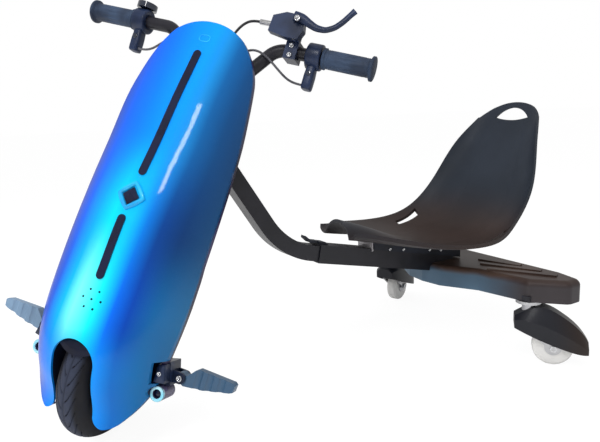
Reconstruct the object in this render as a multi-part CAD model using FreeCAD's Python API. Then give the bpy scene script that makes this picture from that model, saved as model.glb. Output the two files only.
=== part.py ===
"""Electric drift kart: steered front wheel under a tall fairing, low seat, two swivelling rear casters.

Frame of the model, in millimetres: +X is the rider's left, +Y points rearward and +Z up.
The origin is on the floor under the front wheel's centre, in the kart's plane of symmetry.
The front end is drawn facing straight ahead and then turned to the parked steering angle.
"""
import FreeCAD, Part
import math
import os

os.makedirs("parts", exist_ok=True)

V = FreeCAD.Vector

# Front wheel
tyre_outer_radius = 122.0
tyre_section_radius = 28.0
rim_radius = 88.0
hub_radius = 68.0
hub_width = 44.0
rim_flange_width = 50.0
hub_cover_radius = 54.0
hub_cover_proud = 4.0
hub_cover_slope = 10.0
rim_flange_wall = 8.0
rim_dish = 12.0
drum_chamfer = 6.0
overlap = 1.0
tread_groove_width = 7.0
tread_groove_depth = 3.5
tread_groove_offset = 10.0

# Steering geometry
rake_deg = 22.0
parked_steer_deg = 43.74

# Fork and column
axle_radius = 6.0
axle_nut_radius = 10.0
axle_nut_width = 7.0
axle_end_proud = 3.0
leg_inner_gap = 6.0
leg_thickness = 8.0
leg_width = 34.0
crown_along = 150.0
crown_thickness = 16.0
crown_depth = 44.0
column_radius = 16.0
column_top_along = 530.0
bar_clamp_half_width = 26.0
bar_clamp_half_height = 20.0
running_clearance = 0.08

# Head tube and neck
head_low_along = 374.0
head_high_along = 460.0
head_wall = 5.0
neck_width = 38.0
neck_height = 30.0
neck_wall = 2.5
neck_leave_along = 420.0
neck_bend_radius = 150.0
neck_inside_length = 150.0
neck_bend_ahead_of_seam = 76.0

# Casters: distance of their stems behind the front wheel
caster_y = 752.0

# Main tube: the outer half of the telescoping pair
seam_y = 395.0
seam_z = 242.0
tube_drop_deg = 13.1
tube_wall = 3.0
tube_end_y = caster_y - 12.0

# Lock on top of the main tube's mouth, with its lever lying forward over the neck
lock_length = 22.0
lock_half_width = 12.0
lock_height = 5.0
lock_slope = 6.0
lever_reach = 30.0
lever_half_width = 9.0
lever_thickness = 5.0
lever_rise = 7.0
lever_lift = 1.0
lever_bend_at = 18.0

# Rear deck and the beam under it
deck_half_span = 286.0
deck_top_z = 174.0
deck_depth = 44.0
deck_centre_front_y = caster_y - 80.0
deck_rear_y = caster_y + 82.0
deck_inner_half = 49.0
deck_inner_front_y = caster_y - 74.0
deck_mid_half = 122.0
deck_mid_front_y = caster_y - 36.0
deck_out_half = 230.0
deck_out_front_y = caster_y - 18.0
deck_tip_front_y = caster_y + 30.0
deck_tip_rear_y = caster_y + 68.0
deck_edge_round = 13.0
deck_corner_round = 16.0
beam_half_length = 235.0
beam_width = 40.0
beam_height = 12.0
# Raised slats across the deck's top on either side
# Columns: inner end x, inner end y, outer end x, outer end y
slat_rows = [
    (66.0, caster_y + 28.0, 156.0, caster_y + 52.0),
    (92.0, caster_y + 4.0, 206.0, caster_y + 52.0),
    (128.0, caster_y - 16.0, 246.0, caster_y + 46.0),
]
slat_width = 13.0
slat_height = 3.0
slat_sunk = 1.0

# Battery block let into the deck from below, behind the main tube's end
battery_half_width = 118.0
battery_front_gap = 2.0
battery_rear_wall = 14.0
battery_height = 36.0

# Casters
caster_x = 218.0
caster_trail = 46.0
caster_wheel_radius = 38.0
caster_wheel_width = 26.0
caster_hub_radius = 16.0
caster_hub_width = 30.0
caster_pin_radius = 4.0
caster_socket_radius = 24.0
caster_socket_height = 6.0
caster_stem_radius = 12.0
fork_plate_front = 20.0
fork_plate_rear_gap = 8.0
cheek_front = 16.0
cheek_half_width = 9.0
cheek_below_pin = 6.0
pin_proud = 4.0
tyre_edge_round = 7.0
swivel_gap = 0.3
fork_plate_thickness = 4.0
fork_plate_half_gap = 17.0
fork_top_z = 88.0
fork_top_thickness = 6.0
fender_wall = 3.0
# Fender sections behind the stem, at even steps
# Columns: distance, low edge z, crease z, top z, half width at the crease, half width of the top
fender_sections = [
    (-26.0, 76.0, 91.0, 99.0, 22.0, 13.0),
    (1.0, 65.0, 94.0, 114.0, 30.0, 15.0),
    (28.0, 54.0, 86.0, 118.0, 32.0, 15.0),
    (55.0, 44.0, 74.0, 106.0, 32.0, 15.0),
    (82.0, 35.0, 59.0, 86.0, 30.0, 14.0),
    (109.0, 29.0, 40.0, 52.0, 20.0, 9.0),
]
caster_swivel_left_deg = -48.0
caster_swivel_right_deg = 24.0

# Seat
seat_wall = 5.0
seat_lip = 8.0

# Seat bracket
bracket_y = 636.0
bracket_length = 246.0
bracket_half_width = 28.0
bracket_top_z = 262.0
seat_gap = 0.3

# Fairing
shell_wall = 4.0
flange_depth = 12.0
arch_half_width = 35.5
flange_seam = 0.3
flange_arch_gap = 6.0
flange_block_gap = 1.0
# Outer and inner line of the flange, as shares of the outline across and along
flange_outer_share = (0.99, 0.997)
flange_inner_share = (0.955, 0.985)
liner_half_width = 36.0
liner_wall = 3.0
liner_tyre_gap = 6.5
liner_low_along = -50.0
outline_middle = 256.0
outline_reach = 200.0
arch_top_along = 21.0
emblem_along = 277.0
strip_width = 13.0
strip_height = 2.0
trim_gap = 0.2
lens_gap = 0.3
bezel_half = 22.0
bezel_border = 8.0
bezel_height = 5.0
lens_height = 3.0

# Handlebar and controls
bar_radius = 11.1
bar_bend_radius = 30.0
bar_low_along = 505.0
bar_low_half = 58.0
bar_low_ahead = -22.0
bar_high_along = 584.0
bar_high_half = 100.0
bar_high_ahead = -54.0
grip_inner = 184.0
grip_length = 83.0
grip_radius = 16.0
grip_flange_radius = 21.0
grip_flange_width = 5.0
grip_inner_flange_radius = 19.0
grip_inner_flange_width = 4.0
housing_width = 26.0
housing_gap = 2.0
bulge_drop = 58.0
bulge_inset = 4.0
bulge_half_depth = 12.0
housing_radius = 22.0
display_radius = 18.0
display_height = 10.0
display_gap = 0.3
lever_clamp_across = 118.0
lever_clamp_width = 22.0
lever_clamp_wall = 5.0
lever_front = 36.0
lever_neck_inset = 3.0
lever_neck_sunk = 4.0
lever_neck_rise = 14.0
lever_housing_depth = 16.0
lever_blade_depth = 9.0
adjuster_radius = 4.5
adjuster_rise = 14.0
adjuster_length = 20.0
cable_radius = 2.2
# Outlines of the brake lever's housing and blade: across, along
lever_housing_outline = [(88.0, 601.0), (118.0, 596.0), (141.0, 596.0), (148.0, 612.0), (143.0, 636.0), (112.0, 637.0),
                         (90.0, 628.0)]
lever_blade_outline = [(124.0, 622.0), (145.0, 622.0), (162.0, 612.0), (184.0, 609.0), (204.0, 619.0), (219.0, 636.0),
                       (229.0, 653.0), (224.0, 660.0), (216.0, 655.0), (202.0, 636.0), (184.0, 625.0), (164.0, 627.0),
                       (146.0, 639.0), (124.0, 639.0)]
wire_radius = 2.0

# Foot pegs, their brackets and the lamps below
peg_ahead = 16.0
peg_along = 24.0
peg_ear_depth = 24.0
peg_ear_wall = 4.0
peg_block_half = 18.0
peg_block_across = 100.5
peg_block_ahead = (2.0, 38.0)
peg_block_tilt_deg = 16.0
peg_arm_height = 22.0
peg_arm_back = 4.0
peg_arm_front = 32.0
knuckle_radius = 9.0
knuckle_across = 130.0
peg_clearance = 0.3
peg_swing_gap = 3.0
peg_pin_radius = 3.0
# Side outline of the peg's blade seen from the front: across, along
peg_outline = [(130.0, 16.0), (137.0, 13.0), (170.0, 17.5), (213.0, 28.5), (218.0, 31.0), (219.0, 42.0),
               (215.0, 45.0), (155.0, 46.0), (151.0, 43.0), (140.0, 30.0), (130.0, 32.0)]
peg_scoop_across = (159.0, 178.0, 198.0)
peg_scoop_radius = 8.0
peg_scoop_depth = 2.5
lamp_across = 111.0
lamp_ahead = 51.0
lamp_along = -3.0
lamp_radius = 12.0
lamp_length = 38.0
lamp_bore_radius = 7.0
lamp_bore_depth = 8.0
lamp_gap = 0.3

# Worked-out values
ring_radius = tyre_outer_radius - tyre_section_radius
rake = math.radians(rake_deg)
steer = math.radians(parked_steer_deg)
camber_sine = math.sin(rake) * math.sin(steer)
wheel_centre_z = ring_radius * math.sqrt(1.0 - camber_sine ** 2) + tyre_section_radius
wheel_centre = V(0, 0, wheel_centre_z)
steer_axis = V(0, math.sin(rake), math.cos(rake))
ahead_axis = V(0, -math.cos(rake), math.sin(rake))
tube_drop = math.radians(tube_drop_deg)
tube_outer_width = neck_width + 2 * (tube_wall + running_clearance)
tube_outer_height = neck_height + 2 * (tube_wall + running_clearance)
leg_inner = tyre_section_radius + leg_inner_gap
leg_outer = leg_inner + leg_thickness
deck_bottom_z = deck_top_z - deck_depth
beam_top_z = deck_bottom_z + beam_height


def front_point(across, ahead, along):
    """Point of the straight front end: across the kart, ahead of the steering axis, along it from the axle."""
    return wheel_centre + V(across, 0, 0) + ahead_axis * ahead + steer_axis * along


def tube_point(distance, rise, across=0.0):
    """Point on the main tube: distance rearward from the seam, rise above its centre line."""
    y = seam_y + distance * math.cos(tube_drop) + rise * math.sin(tube_drop)
    z = seam_z - distance * math.sin(tube_drop) + rise * math.cos(tube_drop)
    return V(across, y, z)


def box(x0, x1, y0, y1, z0, z1):
    """Box between two corners."""
    return Part.makeBox(x1 - x0, y1 - y0, z1 - z0, V(x0, y0, z0))


def rod(radius, start, end):
    """Round rod from start to end."""
    return Part.makeCylinder(radius, (end - start).Length, start, end - start)


def polygon_face(points):
    """Flat face with straight sides through the points."""
    return Part.Face(Part.makePolygon(points + [points[0]]))


def rounded_path(points, radius):
    """Straight runs through the points, joined by tangent arcs; radius is a number or 'largest'."""
    corners = []
    for before, corner, after in zip(points, points[1:], points[2:]):
        to_before = before - corner
        to_after = after - corner
        turn = math.pi - to_before.getAngle(to_after)
        if radius == "largest":
            reach = 0.45 * min(to_before.Length, to_after.Length)
        else:
            reach = radius * math.tan(turn / 2)
        bend = reach / math.tan(turn / 2)
        start = corner + to_before.normalize() * reach
        end = corner + to_after.normalize() * reach
        inward = (start - corner) + (end - corner)
        depth = bend / math.cos(turn / 2) - bend
        middle = corner + inward.normalize() * depth
        corners.append((start, middle, end, bend))
    edges = []
    here = points[0]
    for start, middle, end, bend in corners:
        edges.append(Part.LineSegment(here, start).toShape())
        edges.append(Part.Arc(start, middle, end).toShape())
        here = end
    edges.append(Part.LineSegment(here, points[-1]).toShape())
    return Part.Wire(edges), [corner[3] for corner in corners]


def round_sweep(points, bend, radius):
    """Round bar or cord along straight runs and tangent arcs, with its bend radii."""
    path, bends = rounded_path(points, bend)
    section = Part.Wire(Part.makeCircle(radius, points[0], points[1] - points[0]))
    return path.makePipeShell([section], True, False), bends, path.Length


def side_prism(points, half_width):
    """Prism across the kart with the given side outline (y, z)."""
    face = polygon_face([V(-half_width, y, z) for y, z in points])
    return face.extrude(V(2 * half_width, 0, 0))


def front_block(across, ahead, along):
    """Block of the straight front end between two values of across, ahead and along."""
    corners = [
        front_point(across[0], ahead[0], along[0]),
        front_point(across[1], ahead[0], along[0]),
        front_point(across[1], ahead[1], along[0]),
        front_point(across[0], ahead[1], along[0]),
    ]
    return polygon_face(corners).extrude(steer_axis * (along[1] - along[0]))


def park(shape):
    """Turn a straight front-end shape to the parked steering angle."""
    turned = shape.copy()
    turned.rotate(wheel_centre, steer_axis, parked_steer_deg)
    return turned


def swivel(shape, side, degrees):
    """Turn a caster shape about its stem."""
    turned = shape.copy()
    turned.rotate(V(side * caster_x, caster_y, 0), V(0, 0, 1), degrees)
    return turned


def save(name, shape):
    """Write one node."""
    shape.exportStep("parts/" + name + ".step")
    print(name, "volume", round(shape.Volume / 1000.0, 1), "cm3, valid", shape.isValid(), len(shape.Solids))


# Front wheel: a round-section tyre on the rim of a hub motor
def make_tyre():
    """Tyre: circle section about the ring, cut by the rim seat, with two grooves round the tread."""
    ring = Part.makeTorus(ring_radius, tyre_section_radius, wheel_centre, V(1, 0, 0))
    half = tyre_section_radius + overlap
    seat = Part.makeCylinder(rim_radius, 2 * half, wheel_centre - V(half, 0, 0), V(1, 0, 0))
    tyre = ring.cut(seat)
    crown = math.sqrt(tyre_section_radius ** 2 - tread_groove_offset ** 2) + ring_radius
    for side in (-1, 1):
        x = side * tread_groove_offset - tread_groove_width / 2
        outer = Part.makeCylinder(tyre_outer_radius + overlap, tread_groove_width, wheel_centre + V(x, 0, 0), V(1, 0, 0))
        inner = Part.makeCylinder(crown - tread_groove_depth, tread_groove_width, wheel_centre + V(x, 0, 0), V(1, 0, 0))
        tyre = tyre.cut(outer.cut(inner))
    return tyre


def make_hub_motor():
    """Hub motor: rim with flanges, drum and domed side covers, bored for the axle."""
    profile = [
        (rim_flange_width / 2, rim_radius),
        (rim_flange_width / 2, rim_radius - rim_flange_wall),
        (hub_width / 2, rim_radius - rim_dish),
        (hub_width / 2 - drum_chamfer, hub_radius),
        (hub_width / 2, hub_radius - drum_chamfer),
        (hub_width / 2, hub_cover_radius),
        (hub_width / 2 + hub_cover_proud, hub_cover_radius - hub_cover_slope),
        (hub_width / 2 + hub_cover_proud, axle_radius + running_clearance),
    ]
    right = [(-x, r) for x, r in reversed(profile)]
    outline = [wheel_centre + V(x, 0, r) for x, r in profile + right]
    return polygon_face(outline).revolve(wheel_centre, V(1, 0, 0), 360)


# Fork and steering column
def make_fork():
    """Two flat legs with rounded ends hung from a crown plate."""
    crown = front_block((-leg_outer, leg_outer), (-crown_depth / 2, crown_depth / 2),
                        (crown_along, crown_along + crown_thickness))
    fork = crown
    for side in (-1, 1):
        across = sorted((side * leg_inner, side * leg_outer))
        leg = front_block(across, (-leg_width / 2, leg_width / 2), (0, crown_along))
        foot = rod(leg_width / 2, front_point(across[0], 0, 0), front_point(across[1], 0, 0))
        fork = fork.fuse(leg).fuse(foot)
    hole = rod(axle_radius, front_point(-leg_outer, 0, 0), front_point(leg_outer, 0, 0))
    return fork.cut(hole).removeSplitter()


def make_axle():
    """Axle pin through the fork, with a nut on each side."""
    end = leg_outer + axle_nut_width + axle_end_proud
    pin = rod(axle_radius, front_point(-end, 0, 0), front_point(end, 0, 0))
    for side in (-1, 1):
        nut = rod(axle_nut_radius, front_point(side * leg_outer, 0, 0),
                  front_point(side * (leg_outer + axle_nut_width), 0, 0))
        pin = pin.fuse(nut)
    return pin


def make_column():
    """Steering column from the crown up to the handlebar clamp block."""
    start = front_point(0, 0, crown_along + crown_thickness)
    column = rod(column_radius, start, front_point(0, 0, column_top_along))
    half = bar_clamp_half_width
    clamp = front_block((-half, half), (bar_low_ahead - bar_clamp_half_height, column_radius),
                        (bar_low_along - bar_clamp_half_height, bar_low_along + bar_clamp_half_height))
    bar_hole = rod(bar_radius, front_point(-half, bar_low_ahead, bar_low_along),
                   front_point(half, bar_low_ahead, bar_low_along))
    return column.fuse(clamp).cut(bar_hole)


# Head tube and neck
def make_head_tube():
    """Sleeve round the steering column."""
    inner = column_radius + running_clearance
    low = front_point(0, 0, head_low_along)
    high = front_point(0, 0, head_high_along)
    return rod(inner + head_wall, low, high).cut(rod(inner, low, high))


def make_neck():
    """Rectangular tube from the head tube down to the seam and on into the main tube."""
    bend = tube_point(-neck_bend_ahead_of_seam, 0)
    start = front_point(0, -column_radius, neck_leave_along)
    end = tube_point(neck_inside_length, 0)
    path, bends = rounded_path([start, bend, end], neck_bend_radius)
    along = (bend - start).normalize()
    up = V(0, -along.z, along.y)

    def section(half_width, half_height):
        """Rectangle square to the start of the path."""
        corners = [(-1, -1), (1, -1), (1, 1), (-1, 1)]
        points = [start + V(a * half_width, 0, 0) + up * (b * half_height) for a, b in corners]
        return Part.makePolygon(points + [points[0]])

    outer = path.makePipeShell([section(neck_width / 2, neck_height / 2)], True, False)
    inner = path.makePipeShell([section(neck_width / 2 - neck_wall, neck_height / 2 - neck_wall)], True, False)
    tube = outer.cut(inner)
    sleeve = column_radius + running_clearance + head_wall
    low = front_point(0, 0, head_low_along - neck_width)
    high = front_point(0, 0, head_high_along + neck_width)
    return tube.cut(rod(sleeve, low, high))


def tube_block(half_width, half_height, start, end):
    """Block along the main tube's centre line."""
    points = [tube_point(start, -half_height, -half_width), tube_point(start, -half_height, half_width),
              tube_point(start, half_height, half_width), tube_point(start, half_height, -half_width)]
    return polygon_face(points).extrude(tube_point(end, 0) - tube_point(start, 0))


def make_main_tube():
    """Outer rectangular tube."""
    length = (tube_end_y - seam_y) / math.cos(tube_drop)
    outer = tube_block(tube_outer_width / 2, tube_outer_height / 2, 0, length)
    inner = tube_block(tube_outer_width / 2 - tube_wall, tube_outer_height / 2 - tube_wall, -overlap, length + overlap)
    return outer.cut(inner)


def make_lock():
    """Lock housing on the main tube's mouth."""
    top = tube_outer_height / 2
    points = [tube_point(0, top), tube_point(lock_length, top), tube_point(lock_length - lock_slope, top + lock_height),
              tube_point(0, top + lock_height)]
    return side_prism([(point.y, point.z) for point in points], lock_half_width)


def make_clamp_lever():
    """Cam lever hinged at the lock, lying forward over the neck with a raised finger end."""
    top = tube_outer_height / 2
    base = top + lever_lift
    points = [tube_point(0, base), tube_point(0, base + lever_thickness),
              tube_point(-lever_bend_at, base + lever_thickness),
              tube_point(-lever_reach, base + lever_thickness + lever_rise),
              tube_point(-lever_reach, base + lever_rise), tube_point(-lever_bend_at, base)]
    return side_prism([(point.y, point.z) for point in points], lever_half_width)


# Rear deck, beam and battery
def make_slats(side):
    """Slanting slats on one side of the deck's top."""
    slats = []
    for inner_x, inner_y, outer_x, outer_y in slat_rows:
        start = V(side * inner_x, inner_y, deck_top_z - slat_sunk)
        run = V(side * outer_x, outer_y, deck_top_z - slat_sunk) - start
        aside = V(-run.y, run.x, 0).normalize() * (slat_width / 2)
        corners = [start - aside, start + run - aside, start + run + aside, start + aside]
        slats.append(polygon_face(corners).extrude(V(0, 0, slat_sunk + slat_height)))
    return slats


def make_deck():
    """Moulded wing across the rear, drawn in plan, rounded at its tips and along its top edges, with slats."""
    half = [
        (0, deck_centre_front_y),
        (deck_inner_half, deck_inner_front_y),
        (deck_mid_half, deck_mid_front_y),
        (deck_out_half, deck_out_front_y),
        (deck_half_span, deck_tip_front_y),
        (deck_half_span, deck_tip_rear_y),
        (deck_out_half, deck_rear_y),
    ]
    other = [(-x, y) for x, y in reversed(half[1:])]
    deck = polygon_face([V(x, y, deck_bottom_z) for x, y in half + other]).extrude(V(0, 0, deck_depth))
    middle_z = (deck_bottom_z + deck_top_z) / 2
    upright = [edge for edge in deck.Edges if abs(edge.CenterOfMass.z - middle_z) < 0.01
               and abs(edge.CenterOfMass.x) > deck_mid_half + 1]
    deck = deck.makeFillet(deck_corner_round, upright)
    top = [edge for edge in deck.Edges if abs(edge.CenterOfMass.z - deck_top_z) < 0.01]
    deck = deck.makeFillet(deck_edge_round, top)
    for side in (-1, 1):
        for slat in make_slats(side):
            deck = deck.fuse(slat)
    length = (tube_end_y - seam_y) / math.cos(tube_drop)
    slot = tube_block(tube_outer_width / 2, tube_outer_height / 2, 0, length)
    return deck.cut(slot).cut(make_battery()).cut(make_beam())


def make_beam():
    """Steel beam let into the deck's underside, which carries both casters."""
    return box(-beam_half_length, beam_half_length, caster_y - beam_width / 2, caster_y + beam_width / 2,
               deck_bottom_z, beam_top_z)


def make_battery():
    """Plain block of the battery, flush with the deck's underside and notched round the beam."""
    block = box(-battery_half_width, battery_half_width, tube_end_y + battery_front_gap,
                deck_rear_y - battery_rear_wall, deck_bottom_z, deck_bottom_z + battery_height)
    return block.cut(make_beam())


# Casters
def make_caster_socket(side):
    """Bearing housing under the beam."""
    x = side * caster_x
    return Part.makeCylinder(caster_socket_radius, caster_socket_height,
                             V(x, caster_y, deck_bottom_z - caster_socket_height))


def make_caster_fork(side):
    """Stem, top plate and two cheek plates that hold the wheel's pin."""
    x = side * caster_x
    y = caster_y + caster_trail
    stem_top = deck_bottom_z - caster_socket_height - swivel_gap
    plate_low = fork_top_z - fork_top_thickness
    plate_rear = y - fork_plate_rear_gap
    outer = fork_plate_half_gap + fork_plate_thickness
    stem = Part.makeCylinder(caster_stem_radius, stem_top - fork_top_z, V(x, caster_y, fork_top_z))
    fork = stem.fuse(box(x - outer, x + outer, caster_y - fork_plate_front, plate_rear, plate_low, fork_top_z))
    for cheek in (-1, 1):
        x0, x1 = sorted((x + cheek * fork_plate_half_gap, x + cheek * outer))
        corners = [(caster_y - cheek_front, plate_low), (y - cheek_half_width, caster_wheel_radius),
                   (y - cheek_half_width / 2, caster_wheel_radius - cheek_below_pin),
                   (y + cheek_half_width / 2, caster_wheel_radius - cheek_below_pin),
                   (y + cheek_half_width, caster_wheel_radius), (plate_rear, plate_low)]
        plate = polygon_face([V(x0, *corner) for corner in corners]).extrude(V(x1 - x0, 0, 0))
        fork = fork.fuse(plate)
    end = outer + pin_proud
    pin = rod(caster_pin_radius, V(x - end, y, caster_wheel_radius), V(x + end, y, caster_wheel_radius))
    return fork.fuse(pin)


def fender_section(row, side, inset):
    """Closed six-sided wire square to the fender's length; inset draws it inside its wall."""
    distance, low, crease, top, half, top_half = row
    x = side * caster_x
    if inset:
        low = low - 2 * inset
        crease = crease - inset / 2
        top = top - inset
        half = half - inset
        top_half = top_half - inset / 2
    corners = [(-half, low), (-half, crease), (-top_half, top), (top_half, top), (half, crease), (half, low)]
    points = [V(x + across, caster_y + distance, z) for across, z in corners]
    return Part.makePolygon(points + [points[0]])


def make_fender(side):
    """Hood over the caster wheel: a loft with a crease along each side, open below, held on the stem."""
    outer = Part.makeLoft([fender_section(row, side, 0) for row in fender_sections], True, False, False, 3)
    inner = Part.makeLoft([fender_section(row, side, fender_wall) for row in fender_sections], True, False, False, 3)
    x = side * caster_x
    ends = (fender_sections[0][0] + fender_wall, fender_sections[-1][0] - fender_wall)
    between = box(x - caster_x, x + caster_x, caster_y + ends[0], caster_y + ends[1], 0, deck_bottom_z)
    hole = Part.makeCylinder(caster_stem_radius, deck_bottom_z, V(x, caster_y, 0))
    return outer.cut(inner.common(between)).cut(hole)


def make_caster_wheel(side):
    """Polyurethane tyre of the caster wheel."""
    centre = V(side * caster_x, caster_y + caster_trail, caster_wheel_radius)
    half = caster_wheel_width / 2
    tyre = Part.makeCylinder(caster_wheel_radius, 2 * half, centre - V(half, 0, 0), V(1, 0, 0))
    tyre = tyre.makeFillet(tyre_edge_round, [edge for edge in tyre.Edges if isinstance(edge.Curve, Part.Circle)])
    return tyre.cut(Part.makeCylinder(caster_hub_radius, 2 * half, centre - V(half, 0, 0), V(1, 0, 0)))


def make_caster_hub(side):
    """Hub of the caster wheel with its bearing bore."""
    centre = V(side * caster_x, caster_y + caster_trail, caster_wheel_radius)
    half = caster_hub_width / 2
    hub = Part.makeCylinder(caster_hub_radius, 2 * half, centre - V(half, 0, 0), V(1, 0, 0))
    bore = Part.makeCylinder(caster_pin_radius + running_clearance, 2 * half, centre - V(half, 0, 0), V(1, 0, 0))
    return hub.cut(bore)


# Seat: a moulded scoop lofted through sections square to its floor, each with a channel for either thigh
# Columns: floor y, floor z, slope of the floor in degrees, half width, rise of the rim, rise of the middle,
# half spacing of the channels
seat_sections = [
    (449.0, 270.0, -8.0, 63.0, 12.0, 30.0, 42.0),
    (505.0, 258.0, -12.0, 104.0, 13.0, 22.0, 50.0),
    (575.0, 243.0, -12.0, 158.0, 14.0, 9.0, 62.0),
    (655.0, 229.0, -7.0, 175.0, 19.0, -1.0, 66.0),
    (728.0, 226.0, 8.0, 172.0, 25.0, -3.0, 68.0),
    (790.0, 238.0, 38.0, 161.0, 36.0, -5.0, 68.0),
    (846.0, 284.0, 57.0, 151.0, 36.0, -5.0, 64.0),
    (896.0, 366.0, 66.0, 132.0, 33.0, -4.0, 56.0),
    (932.0, 437.0, 69.0, 103.0, 27.0, -3.0, 44.0),
    (963.0, 514.0, 71.0, 62.0, 6.0, -1.0, 26.0),
]
# Round top of the backrest seen from the front: half width, z, as arcs through every second point
seat_top_outline = [(82.0, 478.0), (70.0, 489.0), (55.0, 499.0), (30.0, 507.5), (0.0, 511.0)]
# Slots through the seat: half width or half spacing, y range and z range
seat_handle_half = 46.0
seat_flank_share = 0.6
seat_flank_rise_share = 0.3
seat_handle_z = (470.0, 498.0)
seat_handle_bow = 6.0
seat_widest = max(row[3] for row in seat_sections)
seat_rearmost = seat_sections[-1][0]
seat_handle_from_y = seat_sections[-3][0]
seat_slot_across = (132.0, 148.0)
seat_slot_y = (718.0, 782.0)


def seat_section(y, z, slope_deg, half, rim_rise, middle_rise, channel):
    """Closed wire: six arcs for the upper and lower skins and a lip at each side."""
    slope = math.radians(slope_deg)
    up = V(0, -math.sin(slope), math.cos(slope))

    def at(across, rise):
        """Point of the section."""
        return V(across, y, z) + up * rise

    flank = channel + (half - channel) * seat_flank_share
    flank_rise = rim_rise * seat_flank_rise_share
    upper = [(-half, rim_rise), (-flank, flank_rise), (-channel, 0), (0, middle_rise), (channel, 0),
             (flank, flank_rise), (half, rim_rise)]
    lower = [(half, rim_rise - seat_lip), (flank + seat_wall / 2, flank_rise - seat_wall), (channel, -seat_wall),
             (0, middle_rise - seat_wall), (-channel, -seat_wall), (-flank - seat_wall / 2, flank_rise - seat_wall),
             (-half, rim_rise - seat_lip)]
    edges = []
    for row in (upper, lower):
        points = [at(*point) for point in row]
        edges += [Part.Arc(*points[i:i + 3]).toShape() for i in (0, 2, 4)]
        edges.append(None)
    edges[3] = Part.LineSegment(at(*upper[-1]), at(*lower[0])).toShape()
    edges[7] = Part.LineSegment(at(*lower[-1]), at(*upper[0])).toShape()
    return Part.Wire(edges)


def seat_top_prism():
    """Prism rearward through what is kept of the backrest above the handle's shoulders."""
    points = [V(across, 0, z) for across, z in seat_top_outline]
    points += [V(-across, 0, z) for across, z in reversed(seat_top_outline[:-1])]
    edges = [Part.Arc(*points[i:i + 3]).toShape() for i in range(0, len(points) - 2, 2)]
    low = V(0, 0, -points[0].z)
    wide = V(seat_widest, 0, 0)
    base = [points[-1], points[-1] - wide, points[-1] - wide + low, points[0] + wide + low, points[0] + wide,
            points[0]]
    edges += [Part.LineSegment(a, b).toShape() for a, b in zip(base, base[1:])]
    return Part.Face(Part.Wire(edges)).extrude(V(0, 2 * seat_rearmost, 0))


def handle_prism():
    """Half-moon slot for the hand under the backrest's top."""
    low, high = seat_handle_z
    half = seat_handle_half
    start = seat_handle_from_y
    left, right = V(-half, start, low + seat_handle_bow), V(half, start, low + seat_handle_bow)
    arch = Part.Arc(left, V(0, start, high), right).toShape()
    base = Part.Arc(right, V(0, start, low), left).toShape()
    return Part.Face(Part.Wire([arch, base])).extrude(V(0, seat_rearmost, 0))


def seat_loft():
    """Seat shell before its top is rounded and its slots are cut."""
    return Part.makeLoft([seat_section(*row) for row in seat_sections], True, False, False, 3)


def make_seat():
    """Seat shell with its round top, its handle slot and the slots in its sides."""
    seat = seat_loft().common(seat_top_prism()).cut(handle_prism())
    for side in (-1, 1):
        x0, x1 = sorted(side * across for across in seat_slot_across)
        seat = seat.cut(box(x0, x1, seat_slot_y[0], seat_slot_y[1], 0, seat_handle_z[0]))
    return seat


def make_seat_bracket():
    """Folded bracket that carries the seat on the main tube, shaped to the seat's underside."""
    distance = (bracket_y - seam_y) / math.cos(tube_drop)
    top = tube_outer_height / 2
    points = [tube_point(distance - bracket_length / 2, top), tube_point(distance + bracket_length / 2, top)]
    outline = [(points[0].y, points[0].z), (points[1].y, points[1].z), (points[1].y, bracket_top_z),
               (points[0].y, bracket_top_z)]
    seat = seat_loft()
    seat.translate(V(0, 0, -seat_gap))
    pieces = side_prism(outline, bracket_half_width).cut(seat).Solids
    return min(pieces, key=lambda piece: piece.CenterOfMass.z)


# Fairing: circular arcs square to the steering axis, lofted along it
# Columns: along the axis, front line ahead of it, edge ahead of it, half width
shell_sections = [
    (-84.0, 92.0, 68.0, 68.0),
    (-22.0, 109.0, 50.0, 102.0),
    (40.0, 129.0, 47.0, 116.0),
    (102.0, 123.0, 46.0, 122.0),
    (164.0, 112.5, 42.0, 123.0),
    (226.0, 104.5, 35.0, 122.5),
    (288.0, 91.0, 27.0, 121.5),
    (350.0, 73.0, 18.0, 119.5),
    (412.0, 57.0, 13.0, 116.0),
    (474.0, 40.5, 6.0, 108.0),
    (536.0, 22.0, -5.0, 98.0),
    (598.0, 2.0, -16.0, 88.0),
]
# LED strips up the fairing's middle: low and high end along the axis
strips = {"led_strip_upper": (318.0, 526.0), "led_strip_lower": (154.0, 241.0)}
# Notch in the fairing's edge at each peg bracket: across, along
bracket_notch = [(101.0, 12.0), (101.0, 47.0), (132.0, 56.0), (132.0, 18.0)]
# Half outline of the fairing seen from the front, as arcs through every second point: across, along
shell_outline = [
    (0.0, 588.0), (34.0, 582.5), (62.0, 567.0), (85.0, 536.0), (99.0, 500.0), (108.0, 450.0), (113.5, 400.0),
    (118.0, 300.0), (119.8, 200.0), (118.5, 95.0), (110.0, 25.0), (97.0, -20.0), (75.0, -58.0), (64.0, -70.0),
    (52.0, -75.0), (41.0, -70.0), (35.5, -55.0),
]


def shell_arc_wire(row, outer, inner, outer_back, inner_back):
    """Closed crescent: two arcs concentric with the fairing's own, each set in and moved back."""
    along, front, edge, half = row
    depth = front - edge
    radius = (half ** 2 + depth ** 2) / (2 * depth)
    centre = front - radius
    angle = math.atan2(half, edge - centre)

    def at(turn, inset, back):
        """Point of an arc."""
        reach = radius - inset
        return front_point(reach * math.sin(turn), centre + reach * math.cos(turn) - back, along)

    return Part.Wire([
        Part.Arc(at(-angle, outer, outer_back), at(0, outer, outer_back), at(angle, outer, outer_back)).toShape(),
        Part.LineSegment(at(angle, outer, outer_back), at(angle, inner, inner_back)).toShape(),
        Part.Arc(at(angle, inner, inner_back), at(0, inner, inner_back), at(-angle, inner, inner_back)).toShape(),
        Part.LineSegment(at(-angle, inner, inner_back), at(-angle, outer, outer_back)).toShape(),
    ])


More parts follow.
